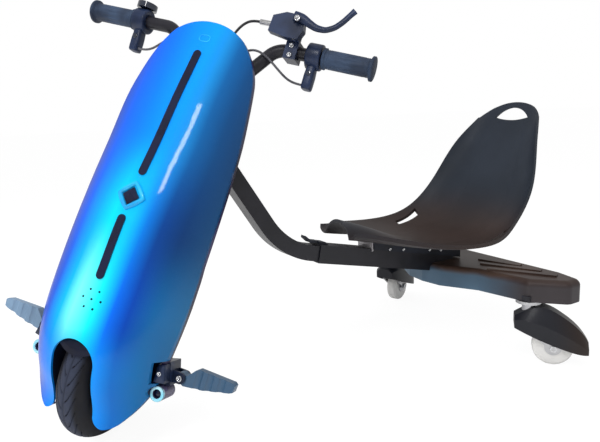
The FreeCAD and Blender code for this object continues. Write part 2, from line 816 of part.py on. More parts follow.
def shell_layer(outer, inner, outer_back=0.0, inner_back=0.0):
    """Loft of crescents between two insets from the fairing's outer surface."""
    wires = [shell_arc_wire(row, outer, inner, outer_back, inner_back) for row in shell_sections]
    return Part.makeLoft(wires, True, False, False, 3)


def front_prism(points):
    """Prism along the ahead axis through an outline of (across, along) points."""
    corners = [front_point(across, outline_reach, along) for across, along in points]
    return polygon_face(corners).extrude(ahead_axis * (-2 * outline_reach))


def outline_prism(scale_across, scale_along):
    """Prism of the fairing's whole outline, drawn smaller about its own middle by two factors."""
    points = [(across * scale_across, outline_middle + (along - outline_middle) * scale_along)
              for across, along in shell_outline]
    edges = []
    for side in (1, -1):
        half = [front_point(side * across, outline_reach, along) for across, along in points]
        edges += [Part.Arc(*half[i:i + 3]).toShape() for i in range(0, len(half) - 2, 2)]
    last = points[-1]
    edges.append(Part.LineSegment(front_point(-last[0], outline_reach, last[1]),
                                  front_point(last[0], outline_reach, last[1])).toShape())
    face = Part.Face(Part.Wire(Part.__sortEdges__(edges)))
    return face.extrude(ahead_axis * (-2 * outline_reach))


def arch_prism(half_width):
    """Slot for the front wheel with a round top."""
    half = half_width
    top = arch_top_along
    slot = front_block((-half, half), (-outline_reach, outline_reach), (-outline_reach, top))
    head = rod(half, front_point(0, outline_reach, top), front_point(0, -outline_reach, top))
    return slot.fuse(head)


def lamp_notches(shape):
    """Clear the lamps' round bodies out of a piece of the fairing."""
    for side in (-1, 1):
        back = front_point(side * lamp_across, lamp_ahead - lamp_length - lamp_gap, lamp_along)
        front = front_point(side * lamp_across, lamp_ahead + lamp_length, lamp_along)
        shape = shape.cut(rod(lamp_radius + lamp_gap, back, front))
    return shape


def make_front_shell():
    """Outer shell of the fairing, notched at its edges for the peg brackets and the lamps."""
    shell = shell_layer(0, shell_wall).common(outline_prism(1.0, 1.0)).cut(arch_prism(arch_half_width))
    for side in (-1, 1):
        shell = shell.cut(front_prism([(side * across, along) for across, along in bracket_notch]))
    return lamp_notches(shell)


def make_back_shell():
    """Flange that runs behind the fairing's edge."""
    band = shell_layer(shell_wall, shell_wall, flange_seam, flange_depth)
    ring = outline_prism(*flange_outer_share).cut(outline_prism(*flange_inner_share))
    band = band.common(ring).cut(arch_prism(arch_half_width + flange_arch_gap))
    for side in (-1, 1):
        band = band.cut(bracket_block(side, flange_block_gap))
    return lamp_notches(band)


def make_arch_liner():
    """Dark guard round the front of the tyre: two walls and a roof, from the fork legs to the fairing's arch."""
    half = liner_half_width + liner_wall
    inner_radius = tyre_outer_radius + liner_tyre_gap
    outer = rod(inner_radius + liner_wall, front_point(-half, 0, 0), front_point(half, 0, 0))
    inner = rod(inner_radius, front_point(-liner_half_width, 0, 0), front_point(liner_half_width, 0, 0))
    kept = front_block((-half, half), (leg_width / 2, 2 * inner_radius), (liner_low_along, 2 * inner_radius))
    guard = outer.cut(inner).common(kept)
    return guard.cut(shell_layer(0, shell_wall)).cut(shell_layer(-liner_half_width, shell_wall))


def capsule(low, high, half_width):
    """Prism with round ends along the fairing's middle."""
    reach = (-outline_reach, outline_reach)
    body = front_block((-half_width, half_width), reach, (low, high))
    for along in (low, high):
        body = body.fuse(rod(half_width, front_point(0, -outline_reach, along), front_point(0, outline_reach, along)))
    return body


def diamond(half):
    """Prism with a square outline standing on its corner."""
    centre = emblem_along
    return front_prism([(half, centre), (0, centre + half), (-half, centre), (0, centre - half)])


# Handlebar
def bar_point(half, level):
    """Point of the handlebar at one of its two levels."""
    if level == "low":
        return front_point(half, bar_low_ahead, bar_low_along)
    return front_point(half, bar_high_ahead, bar_high_along)


def make_handlebar():
    """Bent bar: level in the clamp, up and back on each side, then level through the grips."""
    end = grip_inner + grip_length
    points = [bar_point(-end, "high"), bar_point(-bar_high_half, "high"), bar_point(-bar_low_half, "low"),
              bar_point(bar_low_half, "low"), bar_point(bar_high_half, "high"), bar_point(end, "high")]
    return round_sweep(points, bar_bend_radius, bar_radius)[0]


def bar_ring(side, start, end, radius):
    """Ring round the level end of the bar, between two distances from the middle."""
    return rod(radius, bar_point(side * start, "high"), bar_point(side * end, "high"))


def bore_bar(shape, side):
    """Remove the bar's own space from what clamps round it."""
    end = grip_inner + grip_length
    return shape.cut(rod(bar_radius, bar_point(side * bar_low_half, "high"), bar_point(side * end, "high")))


def make_grip(side):
    """Rubber grip with a flange at its outer end."""
    end = grip_inner + grip_length
    grip = bar_ring(side, grip_inner, end, grip_radius)
    flange = bar_ring(side, end, end + grip_flange_width, grip_flange_radius)
    inner_flange = bar_ring(side, grip_inner, grip_inner + grip_inner_flange_width, grip_inner_flange_radius)
    return bore_bar(grip.fuse(inner_flange), side).fuse(flange)


def make_housing(side):
    """Control housing beside the grip, with a bulge below."""
    start = grip_inner - housing_gap - housing_width
    body = bar_ring(side, start, start + housing_width, housing_radius)
    across = sorted((side * (start + bulge_inset), side * (start + housing_width - bulge_inset)))
    bulge = front_block(across, (bar_high_ahead - bulge_half_depth, bar_high_ahead + bulge_half_depth),
                        (bar_high_along - bulge_drop, bar_high_along))
    return bore_bar(body.fuse(bulge), side)


def make_display():
    """Oval pod on the right-hand housing, facing the rider."""
    middle = grip_inner - housing_gap - housing_width / 2
    base = front_point(-middle, bar_high_ahead, bar_high_along + housing_radius + display_gap)
    return Part.makeCylinder(display_radius, display_height, base, steer_axis)


def lever_plate(points, ahead, depth):
    """Plate square to the ahead axis through (across, along) points."""
    return polygon_face([front_point(x, ahead, along) for x, along in points]).extrude(ahead_axis * depth)


def make_lever_body():
    """Brake lever clamp on the bar, with the housing that holds the pivot above and ahead of it."""
    across = (lever_clamp_across, lever_clamp_across + lever_clamp_width)
    half = bar_radius + lever_clamp_wall
    clamp = front_block(across, (bar_high_ahead - half, bar_high_ahead + half),
                        (bar_high_along - half, bar_high_along + half))
    front = bar_high_ahead + lever_front
    housing = lever_plate(lever_housing_outline, front - lever_housing_depth, lever_housing_depth)
    neck = front_block((across[0] + lever_neck_inset, across[1] - lever_neck_inset), (bar_high_ahead, front),
                       (bar_high_along + half - lever_neck_sunk, bar_high_along + half + lever_neck_rise))
    return bore_bar(clamp.fuse(housing).fuse(neck), 1)


def make_lever_blade():
    """Curved lever blade with a hooked tip."""
    return lever_plate(lever_blade_outline, bar_high_ahead + lever_front, lever_blade_depth)


def make_adjuster():
    """Barrel adjuster where the brake cable enters the lever body."""
    across, along = lever_housing_outline[0]
    ahead = bar_high_ahead + lever_front - lever_housing_depth / 2
    along += adjuster_rise
    return rod(adjuster_radius, front_point(across, ahead, along), front_point(across - adjuster_length, ahead, along))


# Foot pegs, brackets and lamps
def knuckle_rod(side, radius, ahead):
    """Round piece on the peg's hinge line between two values of ahead."""
    return rod(radius, front_point(side * knuckle_across, ahead[0], peg_along),
               front_point(side * knuckle_across, ahead[1], peg_along))


def bracket_block(side, grow=0.0):
    """Square block beside the fork leg, tilted up outwards, or the space round it."""
    half = peg_block_half + grow
    tilt = math.radians(peg_block_tilt_deg)
    corners = []
    for a, b in ((-half, -half), (half, -half), (half, half), (-half, half)):
        across = peg_block_across + a * math.cos(tilt) - b * math.sin(tilt)
        along = peg_along + a * math.sin(tilt) + b * math.cos(tilt)
        corners.append(front_point(side * across, peg_block_ahead[0] - grow, along))
    depth = peg_block_ahead[1] - peg_block_ahead[0] + 2 * grow
    return polygon_face(corners).extrude(ahead_axis * depth)


def make_peg_bracket(side):
    """Arm from the fork leg to a square block with two ears and the peg's pin."""
    arm = front_block(sorted((side * leg_outer, side * peg_block_across)), (peg_arm_back, peg_arm_front),
                      (peg_along - peg_arm_height / 2, peg_along + peg_arm_height / 2))
    bracket = arm.fuse(bracket_block(side))
    low, high = peg_ahead - peg_ear_depth / 2, peg_ahead + peg_ear_depth / 2
    for ear_ahead in ((low, low + peg_ear_wall), (high - peg_ear_wall, high)):
        ear = front_block(sorted((side * peg_block_across, side * knuckle_across)), ear_ahead,
                          (peg_along - knuckle_radius, peg_along + knuckle_radius))
        bracket = bracket.fuse(ear).fuse(knuckle_rod(side, knuckle_radius, ear_ahead))
    between = (low + peg_ear_wall, high - peg_ear_wall)
    swept = knuckle_rod(side, knuckle_radius + peg_swing_gap, between)
    bracket = bracket.cut(swept).fuse(knuckle_rod(side, peg_pin_radius, (low, high)))
    lamp = rod(lamp_radius, front_point(side * lamp_across, lamp_ahead - lamp_length, lamp_along),
               front_point(side * lamp_across, lamp_ahead, lamp_along))
    return bracket.cut(lamp)


def make_peg(side):
    """Folding peg: knuckle between the ears and a tapering blade with three scooped recesses in its front."""
    half = peg_ear_depth / 2 - peg_ear_wall - peg_clearance
    ahead = (peg_ahead - half, peg_ahead + half)
    corners = [front_point(side * across, ahead[0], along) for across, along in peg_outline]
    peg = knuckle_rod(side, knuckle_radius, ahead).fuse(polygon_face(corners).extrude(ahead_axis * (2 * half)))
    front = ahead[1] + peg_scoop_radius - peg_scoop_depth
    for across in peg_scoop_across:
        scoop = rod(peg_scoop_radius, front_point(side * across, front, peg_along - knuckle_across),
                    front_point(side * across, front, peg_along + knuckle_across))
        peg = peg.cut(scoop)
    return peg.cut(knuckle_rod(side, peg_pin_radius + running_clearance, (-knuckle_across, knuckle_across)))


def make_lamp(side):
    """Round lamp pod under the peg bracket, bored at the front."""
    front = front_point(side * lamp_across, lamp_ahead, lamp_along)
    back = front_point(side * lamp_across, lamp_ahead - lamp_length, lamp_along)
    bore_end = front_point(side * lamp_across, lamp_ahead - lamp_bore_depth, lamp_along)
    return rod(lamp_radius, back, front).cut(rod(lamp_bore_radius, bore_end, front))


# Cords held all the way
brake_cable_route = [(68.0, -26.0, 615.0), (53.0, -26.0, 615.0), (39.0, -25.0, 605.0), (30.0, -23.0, 588.0),
                     (25.0, -21.0, 568.0), (22.0, -20.0, 546.0), (22.0, -20.0, 525.0)]
wire_left_route = [(160.0, -50.0, 532.0), (147.0, -50.0, 532.0), (132.0, -46.0, 536.0), (115.0, -39.0, 547.0),
                   (95.0, -31.0, 561.0), (74.0, -27.0, 568.0), (53.0, -32.0, 563.0), (34.0, -33.0, 553.0),
                   (17.0, -32.0, 545.0), (8.0, -32.0, 536.0), (8.0, -32.0, 525.0)]
wire_right_route = [(-160.0, -50.0, 532.0), (-147.0, -50.0, 532.0), (-130.0, -46.0, 536.0), (-110.0, -37.0, 546.0),
                    (-88.0, -26.0, 557.0), (-66.0, -26.0, 561.0), (-44.0, -32.0, 555.0), (-25.0, -33.0, 547.0),
                    (-12.0, -32.0, 537.0), (-12.0, -32.0, 525.0)]
cords = {"brake_cable": (brake_cable_route, cable_radius), "wire_left": (wire_left_route, wire_radius),
         "wire_right": (wire_right_route, wire_radius)}


def build():
    """Make every node in its parked place."""
    save("main_tube", make_main_tube())
    save("tube_lock", make_lock())
    save("clamp_lever", make_clamp_lever())
    save("battery_case", make_battery())
    save("deck", make_deck())
    save("rear_beam", make_beam())
    save("seat_bracket", make_seat_bracket())
    save("seat", make_seat())
    save("neck_tube", make_neck())
    save("head_tube", make_head_tube())
    front = {
        "front_tyre": make_tyre(),
        "hub_motor": make_hub_motor(),
        "fork": make_fork(),
        "front_axle": make_axle(),
        "steering_column": make_column(),
        "front_shell": make_front_shell(),
        "back_shell": make_back_shell(),
        "arch_liner": make_arch_liner(),
        "handlebar": make_handlebar(),
        "brake_lever_body": make_lever_body(),
        "brake_lever_blade": make_lever_blade(),
        "cable_adjuster": make_adjuster(),
        "display_pod": make_display(),
    }
    skin = shell_layer(-strip_height, -trim_gap)
    for name, (low, high) in strips.items():
        front[name] = skin.common(capsule(low, high, strip_width / 2))
    emblem_skin = shell_layer(-bezel_height, -trim_gap)
    inner = diamond(bezel_half - bezel_border)
    front["emblem_bezel"] = emblem_skin.common(diamond(bezel_half)).cut(inner)
    front["emblem_lens"] = shell_layer(-lens_height, -trim_gap).common(diamond(bezel_half - bezel_border - lens_gap))
    for side, word in ((1, "left"), (-1, "right")):
        front["grip_" + word] = make_grip(side)
        front["control_" + word] = make_housing(side)
        front["peg_bracket_" + word] = make_peg_bracket(side)
        front["peg_" + word] = make_peg(side)
        front["lamp_" + word] = make_lamp(side)
    for name, (route, radius) in cords.items():
        tube, bends, length = round_sweep([front_point(*point) for point in route], "largest", radius)
        share = tube.Volume / (math.pi * radius ** 2 * length)
        print(name, "radii", [round(bend, 1) for bend in bends], "length", round(length, 1), "fill", round(share, 3))
        front[name] = tube
    for name, shape in front.items():
        save(name, park(shape))
    for side, word, turn in ((1, "left", caster_swivel_left_deg), (-1, "right", caster_swivel_right_deg)):
        save("caster_socket_" + word, make_caster_socket(side))
        save("caster_fork_" + word, swivel(make_caster_fork(side), side, turn))
        save("caster_fender_" + word, swivel(make_fender(side), side, turn))
        save("caster_tyre_" + word, swivel(make_caster_wheel(side), side, turn))
        save("caster_hub_" + word, swivel(make_caster_hub(side), side, turn))


build()
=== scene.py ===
"""Dresses the electric drift kart: a finish for every solid, and the fine pieces round them."""

import logging
import math
from dataclasses import dataclass, field
from enum import Enum
from functools import cache, partialmethod
from typing import Any, Dict, List, Optional, Sequence, Tuple, Union

import bmesh
import bpy
import numpy as np
from mathutils import Matrix


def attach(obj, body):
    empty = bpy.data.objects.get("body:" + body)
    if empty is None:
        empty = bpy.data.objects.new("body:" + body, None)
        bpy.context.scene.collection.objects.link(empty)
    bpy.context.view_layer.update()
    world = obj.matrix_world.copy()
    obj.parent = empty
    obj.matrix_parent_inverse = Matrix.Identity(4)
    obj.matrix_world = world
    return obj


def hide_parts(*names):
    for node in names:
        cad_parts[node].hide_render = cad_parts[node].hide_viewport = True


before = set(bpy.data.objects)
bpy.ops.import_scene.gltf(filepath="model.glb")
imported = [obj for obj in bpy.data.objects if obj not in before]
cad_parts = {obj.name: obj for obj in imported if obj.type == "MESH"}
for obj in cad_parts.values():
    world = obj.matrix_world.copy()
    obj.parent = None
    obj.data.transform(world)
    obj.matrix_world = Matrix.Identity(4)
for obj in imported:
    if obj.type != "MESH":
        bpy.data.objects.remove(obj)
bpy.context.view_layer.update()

LOG = logging.getLogger("kart")
MM = 0.001
MERGE_UNDER = 1e-6
POLE = 0.01
Array = np.ndarray
Piece = bpy.types.Object
Pair = Tuple[float, float]
Triple = Tuple[float, float, float]
Colour = Triple
Number = Union[float, "Shade"]

RAKE = math.radians(22.0)
PARKED_TURN = math.radians(43.74)
BAR_RADIUS, GRIP_AHEAD, GRIP_ALONG = 11.2, -54.0, 584.0
WHEEL_CENTRE = np.array([0.0, 0.0, 118.793])
LEFTWARD, REARWARD, UPWARD = np.eye(3)
DARK_TONE, DARK_SLOPE = 10, 3295
FLAT_UNDER, EDGE_SLACK = 1e-6, 1e-7
FULL_TURN = 2 * math.pi


def turn(vector: Array, axis: Array, angle: float) -> Array:
    """Turn a vector round a unit axis by radians and the right-hand rule (Rodrigues' formula)."""
    return (vector * math.cos(angle) + np.cross(axis, vector) * math.sin(angle)
            + axis * np.dot(axis, vector) * (1 - math.cos(angle)))


def tone(red: int, green: int, blue: int) -> Colour:
    """Turn a screen colour into linear light: ((c / 255 + 0.055) / 1.055) to the power 2.4."""
    return tuple(((part / 255 + 0.055) / 1.055) ** 2.4 if part > DARK_TONE else part / DARK_SLOPE
                 for part in (red, green, blue))


ALONG = np.array([0.0, math.sin(RAKE), math.cos(RAKE)])
ACROSS = turn(np.array([1.0, 0.0, 0.0]), ALONG, PARKED_TURN)
AHEAD = turn(np.array([0.0, -math.cos(RAKE), math.sin(RAKE)]), ALONG, PARKED_TURN)


def front(across: Any, ahead: Any, along: Any) -> Array:
    """Points of the steered front end: wheel centre + millimetres leftwards, ahead and up along its axes."""
    a, b, c = np.broadcast_arrays(np.asarray(across, float), np.asarray(ahead, float), np.asarray(along, float))
    return WHEEL_CENTRE + a[..., None] * ACROSS + b[..., None] * AHEAD + c[..., None] * ALONG


class Side(Enum):
    """The rider's two sides, each with its sign across the steering plane."""

    LEFT = 1
    RIGHT = -1

    @property
    def word(self) -> str:
        """Its word in the names of pieces."""
        return self.name.lower()


class Body(Enum):
    """Bodies that new pieces ride on."""

    FRAME = "frame"
    FRONT_END = "front_end"
    FRONT_WHEEL = "front_wheel"
    CASTER_LEFT = "caster_left"
    CASTER_RIGHT = "caster_right"


# Meshes


def put(name: str, data: Any) -> Piece:
    """Make an object from its data and link it to the scene."""
    piece = bpy.data.objects.new(name, data)
    bpy.context.scene.collection.objects.link(piece)
    return piece


def put_mesh(name: str, points: Array, faces: List[Tuple[int, ...]]) -> Piece:
    """Make a mesh object, smooth and at the origin, from points in millimetres.

    Args:
        name: Piece name.
        points: Vertices, one row each.
        faces: Vertex numbers of each face.

    Returns:
        The new object.
    """
    mesh = bpy.data.meshes.new(name)
    mesh.from_pydata((np.asarray(points) * MM).tolist(), [], faces)
    mesh.polygons.foreach_set("use_smooth", np.ones(len(mesh.polygons), bool))
    return put(name, mesh)


def surface(name: str, points: Array, wrap_rows: bool = False) -> Piece:
    """Make a closed piece from a grid of points: rows of one closed profile, carried along a path.

    Args:
        name: Piece name.
        points: Array of rows by columns by 3, in millimetres.
        wrap_rows: Whether the path closes on itself; if not, its two ends are filled to their middles.

    Returns:
        The new object.
    """
    rows, columns = points.shape[:2]
    flat = points.reshape(-1, 3)
    i, j = np.meshgrid(np.arange(rows if wrap_rows else rows - 1), np.arange(columns), indexing="ij")
    i2, j2 = (i + 1) % rows, (j + 1) % columns
    quads = np.stack([i * columns + j, i2 * columns + j, i2 * columns + j2, i * columns + j2], -1)
    faces = quads.reshape(-1, 4).tolist()
    if not wrap_rows:
        ring = np.arange(columns)
        following = np.roll(ring, -1)
        flat = np.concatenate([flat, points[0].mean(0)[None], points[-1].mean(0)[None]])
        low, high, start = rows * columns, rows * columns + 1, (rows - 1) * columns
        faces += np.stack([ring, following, np.full(columns, low)], -1).tolist()
        faces += np.stack([start + following, start + ring, np.full(columns, high)], -1).tolist()
    piece = put_mesh(name, flat, faces)
    work = bmesh.new()
    work.from_mesh(piece.data)
    bmesh.ops.remove_doubles(work, verts=work.verts, dist=MERGE_UNDER)
    bmesh.ops.recalc_face_normals(work, faces=work.faces)
    work.to_mesh(piece.data)
    work.free()
    return piece


def square_axes(axis: Array, aside: Optional[Array] = None) -> Tuple[Array, Array, Array]:
    """Find two unit vectors square to an axis and to each other.

    Args:
        axis: Any direction.
        aside: A direction that the first of them is square to as well; up, or left where the axis stands up.

    Returns:
        The unit axis and its two partners.
    """
    unit = axis / np.linalg.norm(axis)
    if aside is None:
        aside = UPWARD if abs(unit[2]) < 0.9 else LEFTWARD
    first = np.cross(unit, aside)
    first /= np.linalg.norm(first)
    return unit, first, np.cross(unit, first)


def round_turn(count: int) -> Array:
    """Angles in even steps round one turn, without the last."""
    return np.linspace(0, FULL_TURN, count, endpoint=False)


def oval(count: int, power: float = 1.0) -> Tuple[Array, Array]:
    """Signed cosine and sine of even angles, each to a power: 1 makes a circle, and less makes it squarer."""
    waves = np.cos(round_turn(count)), np.sin(round_turn(count))
    return tuple(np.sign(wave) * np.abs(wave) ** power for wave in waves)


def pose_matrix(back: Array, right: Array, place: Sequence[float]) -> Matrix:
    """Pose of a lamp or camera, whose columns are its right, its up, its back and its place.

    Args:
        back: Unit axis that points away from what it faces.
        right: Unit axis to its right.
        place: Its place in metres.

    Returns:
        The matrix.
    """
    pose = np.eye(4)
    pose[:3] = np.column_stack([right, np.cross(back, right), back, place])
    return Matrix(pose.tolist())


def spun(name: str, profile: Sequence[Pair], foot: Array, axis: Array, sides: int = 48,
         wrap: bool = False) -> Piece:
    """Spin a profile round an axis: foot + axis times height + radius times the circle's direction.

    Args:
        name: Piece name.
        profile: Rows of radius and height, in millimetres.
        foot: Point that heights start from.
        axis: Direction of the axis.
        sides: Facets round the axis.
        wrap: Whether the profile closes on itself, as a ring's does.

    Returns:
        The new object.
    """
    unit, first, second = square_axes(axis)
    circle = np.column_stack(oval(sides)) @ np.array([first, second])
    rows = np.asarray(profile, float)
    points = foot + rows[:, 1, None, None] * unit + rows[:, 0, None, None] * circle[None]
    return surface(name, points, wrap_rows=wrap)


# Shading


class Shade:
    """A number that varies over a surface: a socket with Python's operators as Math nodes."""

    def __init__(self, desk: "Desk", socket: bpy.types.NodeSocket) -> None:
        """Hold a socket and the desk that its partners are made on."""
        self.desk = desk
        self.socket = socket

    def _with(self, operation: str, other: Number, flip: bool = False) -> "Shade":
        """Make one Math node from this number and another, in that order unless flipped."""
        first, second = (other, self) if flip else (self, other)
        return self.desk.node("ShaderNodeMath", {"operation": operation}, {0: first, 1: second})

    __add__ = __radd__ = partialmethod(_with, "ADD")
    __sub__ = partialmethod(_with, "SUBTRACT")
    __rsub__ = partialmethod(_with, "SUBTRACT", flip=True)
    __mul__ = __rmul__ = partialmethod(_with, "MULTIPLY")
    __truediv__ = partialmethod(_with, "DIVIDE")
    __pow__ = partialmethod(_with, "POWER")
    most = partialmethod(_with, "MAXIMUM")

    def size(self) -> "Shade":
        """Its value without its sign."""
        return self._with("ABSOLUTE", 0.0)

    def smooth(self, low: float, high: float) -> "Shade":
        """Ease from nought at one value to one at another."""
        return self.desk.node("ShaderNodeMapRange", {"interpolation_type": "SMOOTHSTEP"},
                              {"Value": self, "From Min": low, "From Max": high})


class Desk:
    """Node tree of a material or a world, with one method that makes any node."""

    def __init__(self, owner: Any, root: str = "Principled BSDF") -> None:
        """Open the node tree of its owner and find the shader that everything feeds.

        Args:
            owner: A new material or world.
            root: Name of that shader's node.
        """
        owner.use_nodes = True
        self.owner = owner
        self.tree = owner.node_tree
        self.shader = self.tree.nodes[root]

    @classmethod
    def material(cls, name: str) -> "Desk":
        """Start a new material."""
        return cls(bpy.data.materials.new(name))

    def node(self, kind: str, settings: Optional[Dict[str, Any]] = None,
             inputs: Optional[Dict[Any, Any]] = None, out: Any = 0) -> Shade:
        """Make a node.

        Args:
            kind: Blender's type name.
            settings: Attributes that are set first; "stops" fills a colour ramp.
            inputs: Values or links by socket name or number.
            out: Name or number of the output that is returned.

        Returns:
            The chosen output.
        """
        made = self.tree.nodes.new(kind)
        for key, value in (settings or {}).items():
            if key == "stops":
                ramp = made.color_ramp
                while len(ramp.elements) < len(value):
                    ramp.elements.new(0.5)
                for element, (place, colour) in zip(ramp.elements, value):
                    element.position, element.color = place, (*colour, 1.0)
            else:
                setattr(made, key, value)
        for key, value in (inputs or {}).items():
            self.plug(made.inputs[key], value)
        return Shade(self, made.outputs[out])

    def plug(self, socket: bpy.types.NodeSocket, value: Any) -> None:
        """Link a Shade to a socket, or set the socket's own value.

        Args:
            socket: Input socket.
            value: Shade, number or colour.
        """
        if isinstance(value, Shade):
            self.tree.links.new(value.socket, socket)
        elif isinstance(value, tuple) and len(value) == 3 and socket.type == "RGBA":
            socket.default_value = (*value, 1.0)
        else:
            socket.default_value = value

    def place(self) -> Shade:
        """Object coordinates, in metres."""
        return self.node("ShaderNodeTexCoord", out="Object")

    def along(self, axis: Array, origin: Array) -> Shade:
        """Millimetres along an axis from an origin, as a Dot Product of object coordinates.

        Args:
            axis: Any direction.
            origin: Point in millimetres where it is nought.

        Returns:
            The distance.
        """
        unit = axis / np.linalg.norm(axis)
        dot = self.node("ShaderNodeVectorMath", {"operation": "DOT_PRODUCT"},
                        {0: self.place(), 1: tuple(unit.tolist())}, out="Value")
        return dot * 1000.0 - float(np.dot(unit, origin))

    def noise(self, scale: float, detail: float = 3.0) -> Shade:
        """Noise of that many waves a metre."""
        return self.node("ShaderNodeTexNoise", {}, {"Vector": self.place(), "Scale": scale, "Detail": detail})

    def mix(self, share: Number, first: Any, second: Any) -> Shade:
        """Mix two colours."""
        return self.node("ShaderNodeMix", {"data_type": "RGBA"}, {"Factor": share, 6: first, 7: second}, out=2)

    def bump(self, height: Shade, strength: float, distance: float) -> Shade:
        """Normal of a bump of that strength and distance in metres."""
        return self.node("ShaderNodeBump", {}, {"Height": height, "Strength": strength, "Distance": distance})

    def finish(self, **inputs: Any) -> Any:
        """Set the shader's sockets.

        Args:
            inputs: Values or links by the sockets' names, with underscores for spaces.

        Returns:
            The material or world.
        """
        for key, value in inputs.items():
            self.plug(self.shader.inputs[key.replace("_", " ")], value)
        return self.owner


GRAIN_STRENGTH = 0.35
FINE_DETAIL = 2.0
Band = Tuple[Tuple[int, int, int, int], ...]


@dataclass(frozen=True)
class Finish:
    """A moulded, painted or metal finish: two near colours in a soft mottle, a fine grain and its gloss."""

    name: str
    light: Colour
    dark: Colour
    rough: float = 0.45
    spread: float = 0.08
    metal: float = 0.0
    coat: float = 0.0
    mottle: float = 18.0
    grain: float = 900.0
    grain_depth: float = 0.00003
    specular: float = 0.5

    def paint(self) -> bpy.types.Material:
        """Build the material: a mottle between the two colours, which the roughness follows.

        Returns:
            The material.
        """
        desk = Desk.material(self.name)
        patch = desk.noise(self.mottle).smooth(0.35, 0.65)
        fine = desk.noise(self.grain, FINE_DETAIL)
        return desk.finish(
            Base_Color=desk.mix(patch, self.dark, self.light),
            Roughness=patch * self.spread + (self.rough - self.spread / 2),
            Metallic=self.metal, Coat_Weight=self.coat, Coat_Roughness=0.06,
            Specular_IOR_Level=self.specular, Normal=desk.bump(fine, GRAIN_STRENGTH, self.grain_depth))


@dataclass(frozen=True)
class CandyPaintWithPaintedLight:
    """Glossy candy paint with painted light: bands of blue across the fairing that differ at its skirt, foot,
    middle and top, laying painted highlight and painted shade over the paint's own blue.
    """

    name: str
    skirt: Band
    foot: Band
    middle: Band
    top: Band
    blends: Tuple[Pair, ...] = ((15.0, 95.0), (110.0, 240.0), (235.0, 390.0))
    reach: float = 125.0
    wave: float = 10.0
    wave_scale: float = 4.0
    flake_scale: float = 2600.0
    flake_colour: Colour = (0.35, 0.70, 1.0)
    coat: float = 0.32
    ripple_scale: float = 14.0

    def band(self, desk: Desk, side: Shade, rows: Band) -> Shade:
        """Colour ramp across the fairing from rows of millimetres and the screen colour there."""
        stops = [((across + self.reach) / (2 * self.reach), tone(*colour)) for across, *colour in rows]
        return desk.node("ShaderNodeValToRGB", {"stops": stops}, {"Fac": side})

    def paint(self) -> bpy.types.Material:
        """Build the material: four ramps that blend into each other along the steering axis.

        Returns:
            The material.
        """
        desk = Desk.material(self.name)
        wave = desk.noise(self.wave_scale, 1.0) * self.wave - self.wave / 2
        side = (desk.along(ACROSS, WHEEL_CENTRE) + wave + self.reach) / (2 * self.reach)
        height = desk.along(ALONG, WHEEL_CENTRE)
        colour = self.band(desk, side, self.skirt)
        for (low, high), rows in zip(self.blends, (self.foot, self.middle, self.top)):
            colour = desk.mix(height.smooth(low, high), colour, self.band(desk, side, rows))
        flake = desk.noise(self.flake_scale, 1.0)
        colour = desk.mix(flake.smooth(0.5, 0.8) * 0.05, colour, self.flake_colour)
        return desk.finish(Base_Color=colour, Roughness=flake * 0.06 + 0.30, Coat_Weight=self.coat,
                           Coat_Roughness=0.06, Specular_IOR_Level=0.02,
                           Normal=desk.bump(desk.noise(self.ripple_scale, 2.0), 0.05, 0.002))


@dataclass(frozen=True)
class PaintedLightTwoTone:
    """A moulded plastic whose colour eases from one tone to another along an axis, mottled and grained; the
    change of tone paints in light, as painted sheen, painted highlight and painted shade noted at each finish.
    """

    name: str
    low: Colour
    high: Colour
    axis: Triple
    start: float
    end: float
    rough: float = 0.45
    spread: float = 0.08
    grain: float = 1500.0
    grain_depth: float = 0.00005
    specular: float = 0.35
    side: Optional[Colour] = None
    side_from: Pair = (140.0, 240.0)
    side_share: float = 0.92
    ragged: float = 20.0

    def paint(self) -> bpy.types.Material:
        """Build the material, with a third tone towards the rider's left where one is given.

        Returns:
            The material.
        """
        desk = Desk.material(self.name)
        rise = desk.along(np.array(self.axis), np.zeros(3))
        patch = desk.noise(9.0)
        share = (rise + patch * self.ragged - self.ragged / 2).smooth(self.start, self.end)
        fine = desk.noise(self.grain, FINE_DETAIL)
        colour = desk.mix(share, self.low, self.high)
        if self.side:
            aside = desk.along(LEFTWARD, np.zeros(3))
            colour = desk.mix(aside.smooth(*self.side_from) * self.side_share, colour, self.side)
        colour = desk.mix(patch.smooth(0.3, 0.7) * 0.25, colour, (0.0, 0.0, 0.0))
        return desk.finish(Base_Color=colour, Roughness=patch * self.spread + self.rough,
                           Specular_IOR_Level=self.specular,
                           Normal=desk.bump(fine, GRAIN_STRENGTH, self.grain_depth))


@dataclass(frozen=True)
class TyreRubber:
    """Rubber of the front tyre: lighter blue-grey along its middle, black on its shoulders and in its grooves.
    """

    name: str
    crown_tone: Colour
    black: Colour
    crown_from: float = 119.6
    crown_to: float = 121.6
    roundness: float = 0.0205
    middle: float = 8.0
    shoulder: float = 18.0

    def paint(self) -> bpy.types.Material:
        """Build the material: lighter where the radius plus the crown's roundness is near the tread's own.

        Returns:
            The material.
        """
        desk = Desk.material(self.name)
        aside = desk.along(ACROSS, WHEEL_CENTRE).size()
        fore = desk.along(AHEAD, WHEEL_CENTRE)
        rise = desk.along(ALONG, WHEEL_CENTRE)
        radius = (fore * fore + rise * rise) ** 0.5
        blotches = desk.noise(60.0, 4.0)
        crown = (radius + aside * aside * self.roundness).smooth(self.crown_from, self.crown_to)
        share = crown * (1.0 - aside.smooth(self.middle, self.shoulder)) * (blotches * 0.7 + 0.6)
        return desk.finish(Base_Color=desk.mix(share, self.black, self.crown_tone), Roughness=blotches * 0.12 + 0.62,
                           Specular_IOR_Level=0.3,
                           Normal=desk.bump(desk.noise(1600.0, FINE_DETAIL), 0.4, 0.00012))


